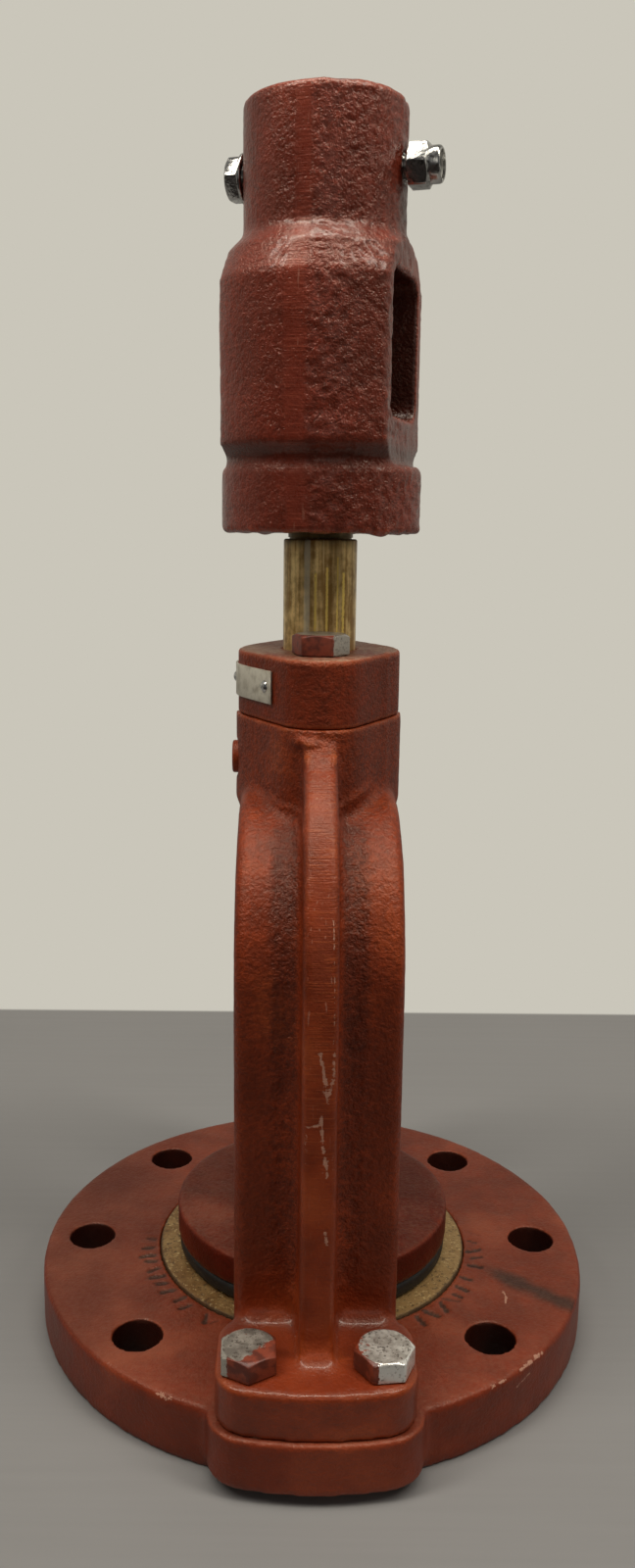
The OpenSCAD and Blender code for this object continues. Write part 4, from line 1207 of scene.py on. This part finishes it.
SEAL_COLUMNS = 240
seal_low, seal_top = low("disc_seal")[2], high("disc_seal")[2]
seal_out, seal_in = high("disc_seal")[0], high("seal_retainer")[0] + 0.2 * MM
bulge = np.linspace(-1, 1, 13)
rows = [(seal_in, seal_low)]
rows += [(seal_out - 0.9 * MM * swell**4 - 0.2 * MM * swell**2,
          seal_low + (seal_top - seal_low) * (swell + 1) / 2) for swell in bulge]
rows += [(seal_in, seal_top)]
turn = np.linspace(0, 2 * math.pi, SEAL_COLUMNS, endpoint=False)
seal = ring_skin("seal_moulded", revolve(rows, turn), "disc", ["disc_seal"],
                 looped=True)
seal.data.materials.append(rubber())

# %% [markdown]
# ## Small machined pieces
# The rest are simple solids whose shape the CAD model already has: the bare nameplate, its
# pins, washers, the seal's clamp plate and its screws. They only need the fine edge that every
# cut or punched piece has, because a perfectly sharp edge never catches the light.

# %% Eased edges
def eased(node, body, width, material):
    """A copy of a CAD node with its sharp edges taken off by that width."""
    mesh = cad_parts[node].data.copy()
    weld(mesh)
    work = bmesh.new()
    work.from_mesh(mesh)
    bmesh.ops.dissolve_limit(work, angle_limit=math.radians(0.5), verts=work.verts,
                             edges=work.edges)
    work.to_mesh(mesh)
    work.free()
    mesh = changed(mesh, "BEVEL", width=width, segments=2, limit_method="ANGLE",
                   angle_limit=SHARP)
    mesh.shade_smooth()
    mesh.set_sharp_from_angle(angle=SHARP)
    mesh.materials.clear()
    mesh.materials.append(material)
    return skin_object(node + "_eased", mesh, body, [node])


def nylon():
    """White nylon, a little cloudy."""
    f = Finish("nylon")
    cloud = f.noise(0.002, 3)
    return f.done(Base_Color=f.mix(cloud, colour(206, 205, 196), colour(228, 227, 219)),
                  Roughness=0.4 + cloud * 0.2, Normal=f.raised(cloud * 0.02))


eased("nameplate", "valve_body", 0.15 * MM, sheet)
for end in ("front", "rear"):
    eased(f"nameplate_pin_{end}", "valve_body", 0.12 * MM, bright_zinc)
eased("grease_plug", "valve_body", 0.8 * MM, yoke_paint)
eased("stem_washer", "stem", 0.4 * MM, bolt_zinc)
eased("cross_bolt_washer", "stem", 0.25 * MM, bright_zinc)
eased("lock_nut_insert", "stem", 0.2 * MM, nylon())
eased("seal_retainer", "disc", 0.4 * MM, dull_bronze)
for number in (1, 2, 3, 4):
    eased(f"seal_screw_{number}", "disc", 0.2 * MM, dull_bronze)

# %% [markdown]
# ## The studio
# The valve stands on a pale table in front of a pale wall. Beyond the table's edges its own
# surface takes the wall's colour, and so do the sky and the far walls that polished steel can
# mirror. The light is two soft panels overhead, as in a workshop, with weak fill from the front.

# %% Table
WALL = colour(202, 198, 186)
TABLE_EDGE, PLANE_EDGE = 0.313, 8.0


def stage_face(name, corners, material):
    """A square face with a finish, which is part of the stage and not of the valve."""
    mesh = bpy.data.meshes.new(name)
    mesh.from_pydata(corners, [], [(0, 1, 2, 3)])
    mesh.materials.append(material)
    made = in_scene(name, mesh)
    print(f"stage: {name}")


def table():
    """A plane with the table's colour within its edges and the wall's colour beyond them. What
    shines sees a dim room in front of the table's near edge."""
    f = Finish("pale_table", Roughness=0.5)
    cloud = f.noise(0.12, 3)
    brushing = f.noise(0.004, 3, 0.6, stretch=(40, 1, 1))
    steel = f.mix(cloud * 0.5 + brushing * 0.5, colour(126, 125, 125), colour(138, 137, 137))
    x, y = f.along("X"), f.along("Y")
    farthest = x.maths("ABSOLUTE", x, 0).at_least(y.maths("ABSOLUTE", y, 0))
    beyond = farthest.step(TABLE_EDGE - 0.002, TABLE_EDGE + 0.002)
    both = f.shade(beyond * f.rays("Camera"), f.shaded(), f.glow(WALL))
    ahead = 1 - y.step(-0.26, -0.18)
    f.show(f.shade(ahead * f.rays("Glossy"), both, f.glow(colour(34, 30, 28))))
    edge = PLANE_EDGE
    corners = [[-edge, -edge, 0], [edge, -edge, 0], [edge, edge, 0], [-edge, edge, 0]]
    stage_face("table", corners, f.done(Base_Color=steel))


table()
print(f"the table is {2 * TABLE_EDGE} m wide")

# %% Walls
def far_wall(name, near, far, mirrored):
    """An upright wall over a line between two points of the floor. It is full bright to the
    camera, less bright in mirror images, and lights the valve only faintly."""
    f = Finish(name)
    faint, mirrored = ([share * part for part in WALL[:3]] + [1] for share in (0.15, mirrored))
    f.show(f.glow(f.mix(f.rays("Camera"), f.mix(f.rays("Glossy"), faint, mirrored), WALL)))
    height = 4
    corners = [[*near, 0], [*far, 0], [*far, height], [*near, height]]
    stage_face(name, corners, f.done())


far_wall("wall_behind", (-3, 2.4), (3, 2.4), mirrored=0.65)
far_wall("wall_left", (-3, -1.0), (-3, 2.4), mirrored=0.55)
far_wall("wall_right", (3, 2.4), (3, -1.0), mirrored=0.75)

# %% Sky and lamps
def sky():
    """A dim even sky that shows the wall's colour to the camera."""
    world = bpy.data.worlds.new("sky")
    bpy.context.scene.world = world
    world.use_nodes = True
    tree = world.node_tree
    rays = tree.nodes.new("ShaderNodeLightPath")
    mix = tree.nodes.new("ShaderNodeMix")
    mix.data_type = "RGBA"
    mix.inputs[6].default_value = (0.08, 0.08, 0.08, 1)
    mix.inputs[7].default_value = WALL
    tree.links.new(rays.outputs["Is Camera Ray"], mix.inputs[0])
    tree.links.new(mix.outputs[2], tree.nodes["Background"].inputs["Color"])


def panel(name, place, size, power):
    """A soft rectangular lamp, a little warm, that faces the middle of the valve."""
    light = bpy.data.lights.new(name, "AREA")
    light.shape = "RECTANGLE"
    light.size, light.size_y = size
    light.energy = power
    light.color = WARM_LIGHT
    made = in_scene(name, light)
    made.location = place
    made.rotation_mode = "QUATERNION"
    made.rotation_quaternion = (Vector(place) - AIM).to_track_quat("Z", "Y")
    print(f"lamp {name}: {power} W")


AIM = Vector((0, 0, 0.2))
WARM_LIGHT = (1.0, 0.94, 0.83)
sky()
panel("ceiling_left", (-0.60, -0.28, 1.75), size=(0.28, 1.6), power=20.0)
panel("ceiling_right", (0.60, -0.28, 1.75), size=(0.28, 1.6), power=20.0)
panel("front", (0.2, -1.9, 0.9), size=(1.4, 0.8), power=2.2)
bpy.context.scene.view_settings.view_transform = "Standard"

# %% [markdown]
# ## The camera
# It stands half a metre in front of the stem, a little left of it, at the height of the
# coupling's lower edge, and looks down by about twelve degrees.

# %% Camera
def camera(place, pitch, yaw, roll, focal, off_centre):
    """A camera from its place and its angles in degrees. The focal length and the shift are
    given as shares of the frame's longer side."""
    p, w, r = (math.radians(angle) for angle in (pitch, yaw, roll))
    right = np.array([math.cos(w), math.sin(w), 0])
    level = np.array([-math.sin(w), math.cos(w), 0])
    upright = np.array([0, 0, 1])
    forward = level * math.cos(p) - upright * math.sin(p)
    top = level * math.sin(p) + upright * math.cos(p)
    side = right * math.cos(r) + top * math.sin(r)
    top = top * math.cos(r) - right * math.sin(r)
    data = bpy.data.cameras.new("camera")
    data.sensor_width = 36
    data.lens = focal * data.sensor_width
    data.shift_x = off_centre
    made = in_scene("camera", data)
    axes = np.eye(4)
    axes[:3, :] = np.stack([side, top, -forward, place], axis=1)
    made.matrix_world = Matrix(axes.tolist())
    bpy.context.scene.camera = made
    print(f"camera: {data.lens:.1f} mm lens")


camera((-10.1 * MM, -485.7 * MM, DECK + 302.2 * MM), pitch=11.74, yaw=-0.11, roll=0.52,
       focal=0.7868, off_centre=0.0146)
